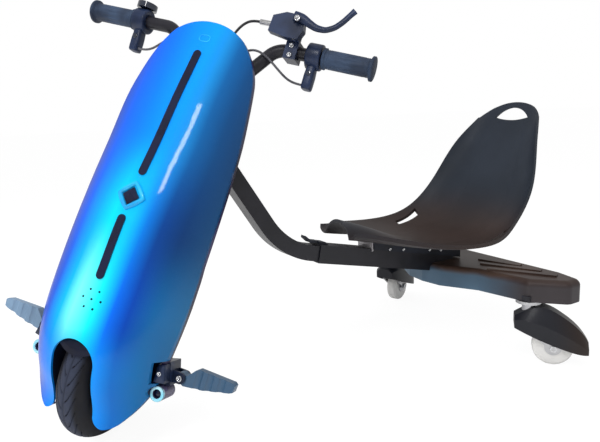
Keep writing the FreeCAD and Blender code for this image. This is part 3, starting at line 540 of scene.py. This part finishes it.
FINISHES: Dict[str, Any] = {finish.name: finish for finish in (
    # Fairing blue: the stops paint in light over the paint's own blue. The near-white cyan near the middle is a
    # painted highlight, and the darker blues on the rider's left flank and towards the top are painted shade.
    CandyPaintWithPaintedLight(
        "candy_blue_painted_light",
        ((-112, 46, 50, 132), (-80, 30, 76, 188), (-50, 4, 124, 242),
         (-14, 0, 160, 248), (20, 0, 168, 250), (42, 0, 138, 240),
         (62, 0, 106, 196), (90, 16, 108, 172), (122, 44, 104, 152)),
        ((-112, 52, 72, 172), (-80, 16, 84, 208), (-48, 0, 176, 252),
         (-24, 120, 252, 250), (10, 16, 240, 254), (38, 0, 104, 232),
         (60, 0, 66, 172), (88, 18, 98, 160), (122, 40, 108, 156)),
        ((-112, 46, 70, 176), (-78, 14, 92, 222), (-48, 0, 156, 252),
         (-18, 0, 214, 254), (16, 0, 186, 252), (38, 0, 116, 216),
         (60, 4, 62, 140), (88, 10, 54, 110), (122, 30, 76, 120)),
        ((-112, 36, 70, 168), (-78, 0, 92, 226), (-48, 0, 112, 248),
         (-18, 0, 134, 248), (16, 4, 148, 246), (38, 20, 136, 212),
         (60, 14, 92, 158), (88, 16, 70, 124), (122, 26, 62, 104))),
    Finish("black_tube", tone(34, 33, 40), tone(24, 24, 30), 0.36, 0.08, specular=0.4),
    Finish("black_case", tone(34, 38, 50), tone(22, 25, 34), 0.42, 0.1, specular=0.35),
    Finish("blue_case", tone(34, 48, 78), tone(20, 30, 52), 0.34, 0.1, specular=0.4),
    # Seat: brown below and blue-grey above; the blue-grey of the upper parts is painted sheen over the brown
    # plastic.
    PaintedLightTwoTone("seat_shell", tone(52, 40, 36), tone(38, 45, 56), (0.0, 0.0, 1.0), 225.0, 330.0, 0.4, 0.1),
    # Deck: the blue-grey front face below is painted sheen and the lighter brown top above is a painted
    # highlight; it is darker brown towards the rider's left end.
    PaintedLightTwoTone("deck_plastic", tone(74, 104, 128), tone(100, 80, 70), (0.0, 0.0, 1.0), 158.0, 172.0, 0.34, 0.1,
            specular=0.45, side=tone(50, 36, 32), side_from=(96.0, 232.0)),
    # Fender: dark grey at the front and brown towards the tail; the tail's brown is painted sheen.
    PaintedLightTwoTone("fender_plastic", tone(34, 35, 42), tone(48, 36, 30), (0.35, 0.94, 0.0),
            800.0, 870.0, 0.32, 0.08),
    Finish("flange_dark", tone(58, 44, 96), tone(26, 22, 48), 0.3, 0.08, specular=0.4, mottle=6.0),
    # Dark navy for the sheet inside the wheel arch: painted shade where the arch's inside falls dark.
    Finish("arch_shade_navy", tone(14, 20, 46), tone(8, 12, 30), 0.5, 0.1, specular=0.3),
    Finish("steel", (0.62, 0.62, 0.63), (0.48, 0.48, 0.5), 0.28, 0.1, metal=1.0, grain=2500.0),
    Finish("bright_steel", (0.8, 0.81, 0.82), (0.64, 0.65, 0.67), 0.22, 0.08, metal=1.0, grain=2500.0),
    # Pegs: one metal, lighter towards the rider's right and darker towards the left; painted light on the one
    # and painted shade on the other.
    PaintedLightTwoTone("peg_metal", tone(126, 154, 182), tone(60, 90, 118), tuple(ACROSS), -150.0, 150.0,
            0.32, 0.1, grain=700.0, specular=0.5),
    Finish("hub_alloy", (0.2, 0.21, 0.23), (0.13, 0.14, 0.16), 0.38, 0.1, metal=0.9),
    TyreRubber("tyre_tread", tone(52, 58, 76), tone(18, 18, 24)),
    Finish("grip_rubber", tone(58, 74, 98), tone(38, 48, 66), 0.56, 0.1, grain_depth=0.00008, specular=0.3),
    Finish("lens_dark", tone(14, 22, 54), tone(8, 14, 38), 0.22, 0.04, coat=0.3, specular=0.3),
    Finish("bezel_blue", tone(30, 186, 240), tone(4, 150, 222), 0.22, 0.05, coat=0.6, specular=0.3),
    Finish("lamp_case", tone(104, 96, 136), tone(66, 60, 92), 0.28, 0.06, coat=0.3),
    # Lamp rims: near-white cyan base colour is painted reflection of a chrome ring.
    Finish("lamp_ring", tone(205, 248, 255), tone(120, 215, 240), 0.14, 0.05, coat=1.0),
    Finish("cord_black", tone(30, 30, 34), tone(20, 20, 24), 0.4, 0.08),
    Finish("cord_grey", tone(92, 92, 98), tone(66, 66, 72), 0.45, 0.08),
    Finish("wheel_pu", (0.86, 0.85, 0.83), (0.78, 0.77, 0.75), 0.22, 0.06, coat=0.6, grain_depth=0.00001),
    Finish("plate_grey", tone(176, 172, 174), tone(140, 138, 142), 0.35, 0.08, metal=0.3),
    # Dark navy of the dot holes: painted shade inside the holes.
    Finish("hole_shade_navy", tone(8, 48, 84), tone(4, 28, 56), 0.5, 0.05, specular=0.1),
    Finish("screen", tone(34, 42, 60), tone(18, 24, 38), 0.1, 0.04, coat=1.0),
)}


@cache
def painted(finish: str) -> bpy.types.Material:
    """Build a finish of FINISHES the first time it is asked for."""
    return FINISHES[finish].paint()


def dress(piece: Piece, finish: str) -> None:
    """Give a piece one finish in every slot.

    Args:
        piece: Mesh or curve object.
        finish: Key of FINISHES.
    """
    paint = painted(finish)
    if len(piece.data.materials) == 0:
        piece.data.materials.append(paint)
    for index in range(len(piece.data.materials)):
        piece.data.materials[index] = paint
    LOG.info("%s wears %s", piece.name, finish)


def add(piece: Piece, finish: str, slot: str, *nodes: str, body: Body = Body.FRONT_END) -> None:
    """Dress a piece, fix it to its body and hide the solids that it stands for.

    Args:
        piece: Mesh or curve object.
        finish: Key of FINISHES.
        slot: Not used.
        nodes: Solids that it replaces.
        body: The body that it moves with.
    """
    dress(piece, finish)
    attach(piece, body.value)
    if nodes:
        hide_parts(*nodes)
    LOG.info("%s rides on %s", piece.name, body.value)


NODE_FINISHES: Dict[str, str] = {
    "black_tube": "main_tube neck_tube head_tube rear_beam steering_column fork handlebar",
    "black_case": "tube_lock clamp_lever battery_case seat_bracket",
    "blue_case": "brake_lever_body peg_bracket_left peg_bracket_right",
    "seat_shell": "seat",
    "deck_plastic": "deck",
    "fender_plastic": "caster_fender_left caster_fender_right",
    "flange_dark": "back_shell",
    # The arch liner's dark navy is painted shade inside the wheel arch.
    "arch_shade_navy": "arch_liner",
    "candy_blue_painted_light": "front_shell",
    "steel": "front_axle cable_adjuster caster_socket_left caster_socket_right "
             "caster_hub_left caster_hub_right caster_fork_left caster_fork_right",
    "peg_metal": "peg_left peg_right",
    "hub_alloy": "hub_motor",
    "lens_dark": "led_strip_upper led_strip_lower emblem_lens",
    "lamp_case": "lamp_left lamp_right",
    "wheel_pu": "caster_tyre_left caster_tyre_right",
    "screen": "display_pod",
}


def facets(node: str) -> Array:
    """Corners of a solid's triangles.

    Args:
        node: Name of the solid.

    Returns:
        Array of triangles by 3 corners by 3, in millimetres.
    """
    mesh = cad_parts[node].data
    mesh.calc_loop_triangles()
    places = np.empty(len(mesh.vertices) * 3)
    mesh.vertices.foreach_get("co", places)
    corners = np.empty(len(mesh.loop_triangles) * 3, np.int32)
    mesh.loop_triangles.foreach_get("vertices", corners)
    return places.reshape(-1, 3)[corners].reshape(-1, 3, 3) / MM


def land(nodes: Sequence[str], starts: Array, direction: Array) -> Tuple[Array, Array]:
    """Find where lines of one direction first meet any of some solids.

    Seen along the direction, a line is a point and a facet a flat triangle: corner + b times one edge + c times
    the other is the point, and the line meets the facet where b, c and 1 - b - c are all nought or more.

    Args:
        nodes: Names of the solids.
        starts: Points that the lines leave from, one row each, in millimetres.
        direction: Way that they go.

    Returns:
        The points met in millimetres and the outward unit normals there, one row each.
    """
    unit, first, second = square_axes(direction)
    solid = np.concatenate([facets(node) for node in nodes])
    edges = solid[:, 1:] - solid[:, :1]
    normals = np.cross(edges[:, 0], edges[:, 1])
    area = normals @ unit
    solid, edges, normals, area = (rows[np.abs(area) > FLAT_UNDER] for rows in (solid, edges, normals, area))
    offset = starts[:, None] - solid[None, :, 0]
    x, y = offset @ first, offset @ second
    (bx, cx), (by, cy) = (edges @ first).T, (edges @ second).T
    b, c = (x * cy - y * cx) / area, (bx * y - by * x) / area
    depth = b * (edges[:, 0] @ unit) + c * (edges[:, 1] @ unit) - offset @ unit
    met = (b > -EDGE_SLACK) & (c > -EDGE_SLACK) & (b + c < 1 + EDGE_SLACK) & (depth > 0)
    depth = np.where(met, depth, np.inf)
    nearest = depth.argmin(1)
    run = depth[np.arange(len(starts)), nearest]
    if not np.isfinite(run).all():
        raise ValueError(f"a line doesn't meet {nodes}")
    outwards = normals[nearest]
    return starts + run[:, None] * unit, outwards / np.linalg.norm(outwards, axis=1)[:, None]


@dataclass
class FrontTyre:
    """Tyre with curved grooves that leave arrow-shaped blocks along its middle."""

    ring: float = 94.0
    section: float = 28.0
    seat: float = 88.0
    turns: int = 616
    steps: int = 78
    grooves: int = 28
    depth: float = 2.4
    half_groove: float = 1.5
    groove_edge: float = 0.9
    groove_lean: float = 1.35
    groove_from: float = 2.2
    groove_to: float = 18.5
    half_line: float = 0.9

    def build(self) -> None:
        """Make the tyre: ring plus section radius in the section's direction, less the grooves' depth."""
        widest = math.acos((self.seat - self.ring) / self.section)
        lean = np.linspace(-widest, widest, self.steps)[None, :]
        round_by = round_turn(self.turns)[:, None]
        aside = self.section * np.sin(lean)
        out = np.abs(aside)
        share = np.clip((out - 3.0) / 14.0, 0.0, 1.0)
        pitch = FULL_TURN / self.grooves
        phase = (round_by / pitch - self.groove_lean * share ** 1.5 + np.where(aside > 0, 0.0, 0.5)) % 1.0
        off = np.abs(phase - 0.5) * pitch * (self.ring + self.section)
        cut = np.clip((self.half_groove - off) / self.groove_edge + 0.5, 0.0, 1.0)
        cut *= np.clip((out - self.groove_from) / 1.2, 0.0, 1.0)
        cut *= np.clip((self.groove_to - out) / 2.0, 0.0, 1.0)
        line = np.clip((self.half_line - out) / 0.5 + 0.5, 0.0, 1.0) * 0.5 * (np.cos(lean) > 0)
        radius = self.section - self.depth * np.maximum(cut, line)
        reach = self.ring + radius * np.cos(lean)
        points = front(radius * np.sin(lean), reach * np.cos(round_by), reach * np.sin(round_by))
        add(surface("front_tyre_tread", points, wrap_rows=True), "tyre_tread", "tyre", "front_tyre",
            body=Body.FRONT_WHEEL)


@dataclass
class Grips:
    """Rubber grips: a flange at each end, rings beside them and lengthwise flutes between."""

    inner: float = 184.0
    length: float = 83.0
    flange: float = 5.0
    inner_rise: float = 2.6
    outer_rise: float = 4.6
    radius: float = 16.0
    flutes: int = 12
    flute_depth: float = 1.1
    ring_depth: float = 0.7

    def build(self) -> None:
        """Make both grips: radius by distance and angle round the bar, flutes and rings as smooth waves."""
        total = self.length + self.flange
        run = np.concatenate([[0.0, 0.6, 3.4, 4.0, 4.6], np.linspace(6.0, self.length - 2.0, 60),
                              [self.length, self.length + 0.6, total - 0.8, total]])[:, None]
        angle = round_turn(120)[None, :]
        window = np.clip((run - 12.0) / 5.0, 0, 1) * np.clip((self.length - 10.0 - run) / 5.0, 0, 1)
        flute = np.clip(np.cos(angle * self.flutes) * 2.0, 0, 1) * window * (0.6 + 0.4 * np.cos(run * 0.14))
        rings = np.clip(np.cos(run * 1.9) * 2.0, 0, 1) * (1 - np.clip(window * 4, 0, 1))
        edge = (run < 4.1) * self.inner_rise + (run > self.length - 0.5) * self.outer_rise
        edge -= 0.8 * ((run < 0.3) | (run > total - 0.4))
        reach = self.radius - self.flute_depth * flute - self.ring_depth * rings + edge
        run, reach = np.vstack([run[:1], run]), np.vstack([BAR_RADIUS + 0 * reach[:1], reach])
        for side in Side:
            points = front(side.value * (self.inner + run), GRIP_AHEAD + reach * np.cos(angle),
                           GRIP_ALONG + reach * np.sin(angle))
            add(surface("grip_rubber_" + side.word, points), "grip_rubber", "grip", "grip_" + side.word)


class Screw(Enum):
    """Kinds of screw: facets, depth sunk in its seat, and its profile in shares of radius and height."""

    HEAD = (24, 0.5, ((0.0, 0.45), (0.48, 0.45), (0.5, 0.95), (0.86, 1.0), (1.0, 0.8)))
    NUT = (6, 0.3, ((0.0, 1.0), (0.8, 1.0), (1.0, 0.86)))


def screw(kind: Screw, name: str, place: Array, axis: Array, size: Pair,
          body: Body = Body.FRONT_END) -> None:
    """Make one screw: a round head with a recess, or a six-sided nut.

    Args:
        kind: Which of the two.
        name: Piece name.
        place: Middle of its seat.
        axis: Way that it faces.
        size: Its radius, over the corners for a nut, and its height.
        body: The body that it moves with.
    """
    sides, sunk, shares = kind.value
    profile = np.vstack([np.multiply(shares, size), (size[0], -sunk), (POLE, -sunk)])
    profile[0, 0] = POLE
    piece = spun(name, profile, place, axis, sides)
    if kind is Screw.NUT:
        piece.data.polygons.foreach_set("use_smooth", np.zeros(len(piece.data.polygons), bool))
    add(piece, "bright_steel", "steel", body=body)


@dataclass
class Bolts:
    """Screws and nuts that show, each placed by where a line meets its seat."""

    start: float = 120.0
    lever: Tuple[Tuple[float, ...], ...] = ((129.0, 574.0, 4.2, 3.15), (129.0, 590.0, 4.2, 3.15),
                                            (136.0, 626.0, 5.0, 3.75))
    knuckle: Pair = (130.0, 24.0)
    knuckle_size: Pair = (5.0, 3.75)
    hub_face: float = 25.8
    hub_circle: float = 36.0
    hub_count: int = 5
    hub_turn: float = 0.3
    hub_size: Pair = (3.4, 2.55)
    axle_end: float = 42.0
    axle_size: Pair = (11.5, 7.4)
    caster_stem: Pair = (218.0, 752.0)
    caster_turns: Pair = (-48.0, 24.0)
    caster_trail: float = 46.0
    caster_axle: float = 38.0
    caster_cheek: float = 21.0
    caster_size: Pair = (7.0, 3.6)
    seat_rows: Tuple[float, ...] = (560.0, 596.0, 668.0, 700.0)
    seat_start: float = 200.0
    seat_rise: Triple = (214.0, 628.0, 0.18)
    seat_size: Pair = (3.0, 2.25)

    def front_end(self) -> None:
        """Place the screws and nuts of the lever, the pegs' knuckles, the hub and the axle."""
        across, along, *sizes = np.array(self.lever).T
        places, _ = land(("brake_lever_body", "brake_lever_blade"), front(across, self.start, along), -AHEAD)
        for index, (place, size) in enumerate(zip(places, np.transpose(sizes))):
            screw(Screw.HEAD, f"lever_screw_{index}", place, AHEAD, size)
        across, along = self.knuckle
        angle = round_turn(self.hub_count) + self.hub_turn
        for side in Side:
            outwards = side.value * ACROSS
            start = front([side.value * across], self.start, along)
            places, _ = land(("peg_bracket_" + side.word,), start, -AHEAD)
            screw(Screw.HEAD, "knuckle_screw_" + side.word, places[0], AHEAD, self.knuckle_size)
            places = front(side.value * self.hub_face, self.hub_circle * np.cos(angle),
                           self.hub_circle * np.sin(angle))
            for index, place in enumerate(places):
                screw(Screw.HEAD, f"hub_screw_{side.word}_{index}", place, outwards, self.hub_size,
                      Body.FRONT_WHEEL)
            screw(Screw.NUT, "axle_nut_" + side.word, front(side.value * self.axle_end, 0, 0), outwards,
                  self.axle_size)

    def casters(self) -> None:
        """Place the nuts of the casters' axles, which lie at the parked turn of each caster."""
        for side, degrees in zip(Side, self.caster_turns):
            axis = turn(LEFTWARD, UPWARD, math.radians(degrees))
            stem = np.array([side.value * self.caster_stem[0], self.caster_stem[1], self.caster_axle])
            centre = stem + self.caster_trail * np.cross(UPWARD, axis)
            for way, end in ((1, "outer"), (-1, "inner")):
                screw(Screw.NUT, f"caster_nut_{side.word}_{end}", centre + way * self.caster_cheek * axis,
                      way * axis, self.caster_size, Body["CASTER_" + side.name])

    def seat(self) -> None:
        """Place the screws along the seat's bracket, which slopes."""
        level, from_y, slope = self.seat_rise
        y = np.array(self.seat_rows)
        starts = np.column_stack([np.full(len(y), self.seat_start), y, level + (from_y - y) * slope])
        for index, place in enumerate(land(("seat_bracket",), starts, -LEFTWARD)[0]):
            screw(Screw.HEAD, f"seat_screw_{index}", place, LEFTWARD, self.seat_size, Body.FRAME)

    def build(self) -> None:
        """Place them all."""
        self.front_end()
        self.casters()
        self.seat()


@dataclass
class Controls:
    """Brake lever blade, control housings beside the grips and the faces of the peg blocks."""

    housing_middle: float = 169.0
    half_housing: float = 12.6
    housing_radius: float = 22.0
    pod_size: Pair = (8.9, 11.8)
    pod_drop: float = 58.0
    button: Triple = (4.6, 10.6, 32.0)
    button_round: float = 1.2
    button_span: Pair = (-1.0, 2.4)
    blade_ahead: float = -13.6
    blade_across: Tuple[float, ...] = (128, 142, 156, 170, 186, 200, 211, 219, 225)
    blade_along: Tuple[float, ...] = (631, 630, 623, 617.5, 617, 624, 636, 648, 656.5)
    block: Tuple[Pair, ...] = ((102.5, 14.5), (120.5, 17.5), (112.8, 44.5), (102.5, 42.5))
    block_screw: Triple = (109.0, 58.2, 30.0)
    screw_size: Pair = (3.6, 2.7)

    def blade(self) -> None:
        """Make the lever: a flat oval carried along a smooth line that dips and hooks up at its tip."""
        share = np.linspace(0, 1, 60)
        place, index = share * (len(self.blade_across) - 1), np.arange(len(self.blade_across))
        knots = (self.blade_across, self.blade_along)
        line = np.column_stack([np.interp(place, index, values) for values in knots])
        for _ in range(6):
            line[1:-1] = (line[:-2] + 2 * line[1:-1] + line[2:]) / 4
        run = np.gradient(line, axis=0)
        run /= np.linalg.norm(run, axis=1)[:, None]
        half = 8.6 - 3.8 * np.clip(share / 0.5, 0, 1) + 0.7 * np.clip((share - 0.9) / 0.1, 0, 1)
        thick = 4.3 - 0.9 * share
        angle = round_turn(20)
        up = half[:, None] * np.cos(angle)
        points = front(line[:, :1] - run[:, 1:] * up, thick[:, None] * np.sin(angle) + self.blade_ahead,
                       line[:, 1:] + run[:, :1] * up)
        add(surface("lever_blade", points), "blue_case", "frame_black", "brake_lever_blade")

    def housing(self, side: Side) -> None:
        """Make a housing: a ring with rounded rims, and a pod with a button that hangs from it and tapers.

        Args:
            side: The rider's side.
        """
        rim = np.array([(BAR_RADIUS, 0.0), (self.housing_radius - 2.0, 0.0), (self.housing_radius - 0.4, 1.0),
                        (self.housing_radius, 3.0)])
        low, high = self.housing_middle - self.half_housing, self.housing_middle + self.half_housing
        ring = np.vstack([rim + (0, low), rim[::-1] * (1, -1) + (0, high)])
        foot = front(0.0, GRIP_AHEAD, GRIP_ALONG)
        add(spun("control_ring_" + side.word, ring, foot, side.value * ACROSS, 56, wrap=True),
            "blue_case", "trim_dark", "control_" + side.word)
        cos, sin = oval(40, 0.55)
        rise = np.array([0.0, 0.6, 3.0, 10.0, 24.0, 36.0, 44.0, 45.6])[:, None]
        width = np.array([0.70, 0.86, 0.97, 1.0, 1.0, 0.92, 0.84, 0.74])[:, None]
        points = front(side.value * (self.housing_middle + self.pod_size[0] * width * cos),
                       GRIP_AHEAD + self.pod_size[1] * width * sin, GRIP_ALONG - self.pod_drop + rise)
        add(surface("control_pod_" + side.word, points), "blue_case", "trim_dark")
        radius, ahead, drop = self.button
        place = front(side.value * self.housing_middle, GRIP_AHEAD + ahead, GRIP_ALONG - drop)
        angle = np.linspace(0, math.pi / 2, 4)
        rim = self.button_round * np.column_stack([np.sin(angle), -np.cos(angle)])
        inner, (low, high) = radius - self.button_round, self.button_span
        button = np.vstack([(POLE, low), rim + (inner, low + self.button_round),
                            rim[::-1] * (1, -1) + (inner, high - self.button_round), (POLE, high)])
        add(spun("control_button_" + side.word, button, place, AHEAD, 24), "screen", "trim_dark")

    def block_face(self, side: Side) -> None:
        """Make the dark face that fills the fairing's notch in front of a peg's block, and its screw.

        Args:
            side: The rider's side.
        """
        corners = np.array(self.block)
        middle = corners.mean(0)
        share = np.linspace(0, 1, 6, endpoint=False)[:, None]
        following = np.roll(corners, -1, axis=0)
        outline = (corners[:, None] * (1 - share) + following[:, None] * share).reshape(-1, 2)
        spread = np.array([1.0, 1.0, 0.94])[:, None, None]
        across, along = ((outline - middle) * spread + middle).transpose(2, 0, 1)
        points = front(side.value * across, np.array([36.0, 57.0, 58.5])[:, None], along)
        add(surface("block_face_" + side.word, points), "blue_case", "frame_black")
        place = front(*np.array(self.block_screw) * (side.value, 1, 1))
        screw(Screw.HEAD, "block_screw_" + side.word, place, AHEAD, self.screw_size)

    def build(self) -> None:
        """Make the blade, both housings and both block faces."""
        self.blade()
        for side in Side:
            self.housing(side)
            self.block_face(side)


def line_inside(node: str, finish: str) -> None:
    """Give the rearward faces of a moulded shell a second finish, as only its outside is painted.

    Args:
        node: Name of the solid.
        finish: Key of FINISHES for its inside.
    """
    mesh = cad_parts[node].data
    mesh.materials.append(painted(finish))
    normals = np.empty(len(mesh.polygons) * 3)
    mesh.polygons.foreach_get("normal", normals)
    rearward = normals.reshape(-1, 3) @ AHEAD < -0.02
    mesh.polygons.foreach_set("material_index", np.where(rearward, len(mesh.materials) - 1, 0).astype(np.int32))


@dataclass
class FairingTrim:
    """Small pieces on the fairing: dot holes, lamp rims and lenses, the emblem's frame and the cap's line."""

    start: float = 300.0
    dots: Pair = (1.0, 117.0)
    dot_spread: float = 15.0
    lamp: Triple = (111.0, 51.0, -3.0)
    emblem_along: float = 277.0
    emblem_half: float = 19.4
    emblem_power: float = 1.12
    emblem_border: float = 3.9
    emblem_rise: float = 4.1
    emblem_lift: float = 0.6
    cap_along: float = 556.0
    cap_size: Pair = (9.0, 6.0)
    cap_line: float = 0.7

    def dot_holes(self) -> None:
        """Make one dark disc in the middle and six round it, painted shade where the holes are."""
        across, along = (np.append(0.0, self.dot_spread * wave) for wave in oval(6))
        starts = front(self.dots[0] + across, self.start, self.dots[1] + along)
        profile = [(POLE, 0.12), (1.7, 0.12), (1.9, -0.5), (POLE, -0.5)]
        for index, (place, normal) in enumerate(zip(*land(("front_shell",), starts, -AHEAD))):
            add(spun(f"dot_hole_{index}", profile, place, normal, 16), "hole_shade_navy", "trim_dark")

    def lamps(self) -> None:
        """Make each lamp's pale rim, a spun ring whose cyan-white is painted reflection, and the dark dome in
        it.
        """
        rim = [(7.2, -1.5), (7.0, 0.0), (7.8, 0.9), (10.6, 1.0), (11.9, 0.2), (12.15, -3.5), (11.5, -3.5)]
        dome = [(POLE, -3.0), (3.5, -3.3), (6.9, -4.6), (6.9, -7.5), (POLE, -7.5)]
        for side in Side:
            face = front(*np.array(self.lamp) * (side.value, 1, 1))
            add(spun("lamp_rim_" + side.word, rim, face, AHEAD, 48, wrap=True), "lamp_ring", "lamp")
            add(spun("lamp_lens_" + side.word, dome, face, AHEAD, 40), "lens_dark", "lens")

    def border(self, name: str, outline: Array, middle: float, section: Array) -> Piece:
        """Carry a section round an outline on the fairing: place + outwards and normal times the section's two.

        Args:
            name: Piece name.
            outline: Rows of millimetres across and along from its middle.
            middle: Height of its middle along the steering axis.
            section: Rows of millimetres outwards and off the fairing.

        Returns:
            The new object.
        """
        across, along = outline.T
        places, normals = land(("front_shell",), front(across, self.start, middle + along), -AHEAD)
        outwards = outline @ np.array([ACROSS, ALONG])
        outwards /= np.linalg.norm(outwards, axis=1)[:, None]
        points = (places[:, None] + section[None, :, :1] * outwards[:, None]
                  + section[None, :, 1:] * normals[:, None])
        return surface(name, points, wrap_rows=True)

    def build(self) -> None:
        """Make the dots, the lamps, the emblem's half-round frame on its corner and the cap's outline."""
        self.dot_holes()
        self.lamps()
        around = np.column_stack(oval(96))
        size = (np.abs(around) ** self.emblem_power).sum(1) ** (1 / self.emblem_power)
        outline = self.emblem_half * around / size[:, None]
        cos, sin = oval(16)
        section = np.column_stack([self.emblem_border * cos,
                                   self.emblem_lift + self.emblem_rise * np.clip(sin, -0.2, 1.0)])
        add(self.border("emblem_frame", outline, self.emblem_along, section), "bezel_blue", "bezel",
            "emblem_bezel")
        outline = np.column_stack(oval(48, 0.6)) * self.cap_size
        section = self.cap_line * np.column_stack(oval(8))
        add(self.border("cap_outline", outline, self.cap_along, section), "bezel_blue", "bezel")


@dataclass
class SeatFoot:
    """Light plate on the front of the seat's bracket."""

    low: float = 226.0
    high: float = 249.0
    half: float = 25.0
    start: Triple = (0.0, 300.0, 236.0)

    def build(self) -> None:
        """Make the plate as a rounded block: an oval that is nearly a square, carried forward."""
        place = land(("seat_bracket",), np.array([self.start]), REARWARD)[0][0]
        cos, sin = oval(64, 0.25)
        share = np.array([1.0, 1.0, 0.97])[:, None]
        ahead = np.array([-1.0, 2.0, 2.6])[:, None]
        rise = (self.low + self.high) / 2 + (self.high - self.low) / 2 * sin
        points = np.stack(np.broadcast_arrays(self.half * share * cos, place[1] - ahead, rise), -1)
        add(surface("seat_foot_plate", points), "plate_grey", "steel", body=Body.FRAME)


@dataclass
class Cords:
    """The brake cable and the two wires, each one smooth spline through its route's points."""

    cable_radius: float = 2.2
    wire_radius: float = 2.0
    routes: Dict[str, List[Triple]] = field(default_factory=lambda: {
        "brake_cable": [(68, -26, 615), (53, -26, 615), (39, -25, 605), (30, -23, 588), (25, -21, 568),
                        (22, -20, 546), (22, -20, 525)],
        "wire_left": [(160, -50, 532), (147, -50, 532), (132, -46, 536), (115, -39, 547), (95, -31, 561),
                      (74, -27, 568), (53, -32, 563), (34, -33, 553), (17, -32, 545), (8, -32, 536),
                      (8, -32, 525)],
        "wire_right": [(-160, -50, 532), (-147, -50, 532), (-130, -46, 536), (-110, -37, 546),
                       (-88, -26, 557), (-66, -26, 561), (-44, -32, 555), (-25, -33, 547), (-12, -32, 537),
                       (-12, -32, 525)],
    })

    def line(self, name: str, route: List[Triple], radius: float, finish: str) -> None:
        """Make one cord: a spline of the third order with a round section.

        Args:
            name: Name of the solid that it stands for.
            route: Millimetres across, ahead and along at each point.
            radius: Radius of the section.
            finish: Key of FINISHES.
        """
        curve = bpy.data.curves.new(name + "_line", "CURVE")
        curve.dimensions = "3D"
        curve.bevel_depth = radius * MM
        curve.bevel_resolution = 5
        curve.resolution_u = 8
        curve.use_fill_caps = True
        spline = curve.splines.new("NURBS")
        spline.points.add(len(route) - 1)
        points = front(*np.array(route, float).T) * MM
        spline.points.foreach_set("co", np.column_stack([points, np.ones(len(points))]).ravel())
        spline.order_u = 3
        spline.use_endpoint_u = True
        add(put(name + "_line", curve), finish, "cable", name)

    def build(self) -> None:
        """Make the cable and the wires."""
        self.line("brake_cable", self.routes["brake_cable"], self.cable_radius, "cord_black")
        for side in Side:
            name = "wire_" + side.word
            self.line(name, self.routes[name], self.wire_radius, "cord_grey")


@dataclass
class Studio:
    """Pale floor, plain soft light and the camera."""

    camera_place: Triple = (0.9245, -0.1561, 0.5139)
    azimuth: float = 60.52
    elevation: float = 10.97
    roll: float = -2.74
    lens: float = 33.94
    sensor: float = 36.0
    half_floor: float = 30000.0
    floor_white: float = 0.86
    floor_glow: float = 1.08
    fill: float = 0.50
    lamp_aim: Triple = (0.0, 0.3, 0.3)
    lamp_rows: Tuple[Tuple[Any, ...], ...] = (("key", (0.9, -1.6, 1.9), (1.2, 1.2), 26.0),
                                              ("left_fill", (-1.3, -0.9, 1.3), (1.4, 1.4), 14.0),
                                              ("top", (0.3, 0.6, 2.2), (1.4, 1.4), 14.0),
                                              ("streak", (0.95, -0.52, 1.63), (0.13, 0.42), 5.0))
    streak_back: Triple = (0.54, -0.41, 0.735)
    streak_length: Triple = (-0.53, 0.38, 0.76)

    def build(self) -> None:
        """Set up the camera, the floor, the world and the lamps."""
        self.camera()
        self.floor()
        self.world()
        self.lamps()
        bpy.context.scene.view_settings.view_transform = "Standard"

    def camera(self) -> None:
        """Aim the camera by its azimuth, elevation and roll."""
        az, el, roll = (math.radians(a) for a in (self.azimuth, self.elevation, self.roll))
        back = np.array([math.sin(az) * math.cos(el), -math.cos(az) * math.cos(el), math.sin(el)])
        right = turn(np.array([math.cos(az), math.sin(az), 0.0]), back, roll)
        data = bpy.data.cameras.new("camera")
        data.lens, data.sensor_width = self.lens, self.sensor
        data.clip_start = 0.01
        camera = put("camera", data)
        camera.matrix_world = pose_matrix(back, right, self.camera_place)
        bpy.context.scene.camera = camera

    def floor(self) -> None:
        """Make a wide pale floor that shows white, and the kart's shadow on it."""
        corners = np.array([(-1, -1, 0), (1, -1, 0), (1, 1, 0), (-1, 1, 0)]) * self.half_floor
        piece = put_mesh("floor", corners, [(0, 1, 2, 3)])
        desk = Desk.material("floor_paper")
        rays = desk.node("ShaderNodeLightPath", out="Is Camera Ray")
        piece.data.materials.append(desk.finish(Base_Color=(0.92, 0.92, 0.92), Roughness=0.9,
                                                Specular_IOR_Level=0.0))
        glow = desk.node("ShaderNodeEmission", {}, {"Color": (1.0, 1.0, 1.0), "Strength": self.floor_glow})
        paper = Shade(desk, desk.shader.outputs[0])
        both = desk.node("ShaderNodeMixShader", {}, {0: rays * self.floor_white, 1: paper, 2: glow})
        desk.plug(desk.tree.nodes["Material Output"].inputs["Surface"], both)

    def world(self) -> None:
        """White to the camera and through glass, and a plain soft fill to everything else."""
        world = bpy.data.worlds.new("white_room")
        bpy.context.scene.world = world
        desk = Desk(world, "Background")
        seen = desk.node("ShaderNodeLightPath", out="Is Camera Ray")
        through = desk.node("ShaderNodeLightPath", out="Is Transmission Ray")
        desk.finish(Color=(1.0, 1.0, 1.0), Strength=seen.most(through) * (1.0 - self.fill) + self.fill)

    def lamps(self) -> None:
        """Hang three large soft lamps without a reflection, and a narrow one that makes the flank's streak."""
        for name, place, size, power in self.lamp_rows:
            back, aside = np.subtract(place, self.lamp_aim), None
            if name == "streak":
                back, aside = np.array(self.streak_back), -np.array(self.streak_length)
            data = bpy.data.lights.new(name, "AREA")
            data.shape, data.energy = "RECTANGLE", power
            data.size, data.size_y = size
            lamp = put(name, data)
            lamp.visible_glossy = name == "streak"
            back, right, _ = square_axes(back, aside)
            lamp.matrix_world = pose_matrix(back, right, place)


def main() -> None:
    """Build the kart's pieces in order and dress its solids."""
    logging.basicConfig(level=logging.INFO, format="%(name)s: %(message)s")
    for maker in (Studio(), Cords(), FrontTyre(), Grips(), Bolts(), Controls(), FairingTrim(), SeatFoot()):
        maker.build()
    for finish, nodes in NODE_FINISHES.items():
        for node in nodes.split():
            dress(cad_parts[node], finish)
    line_inside("front_shell", "flange_dark")


if __name__ == "__main__":
    main()
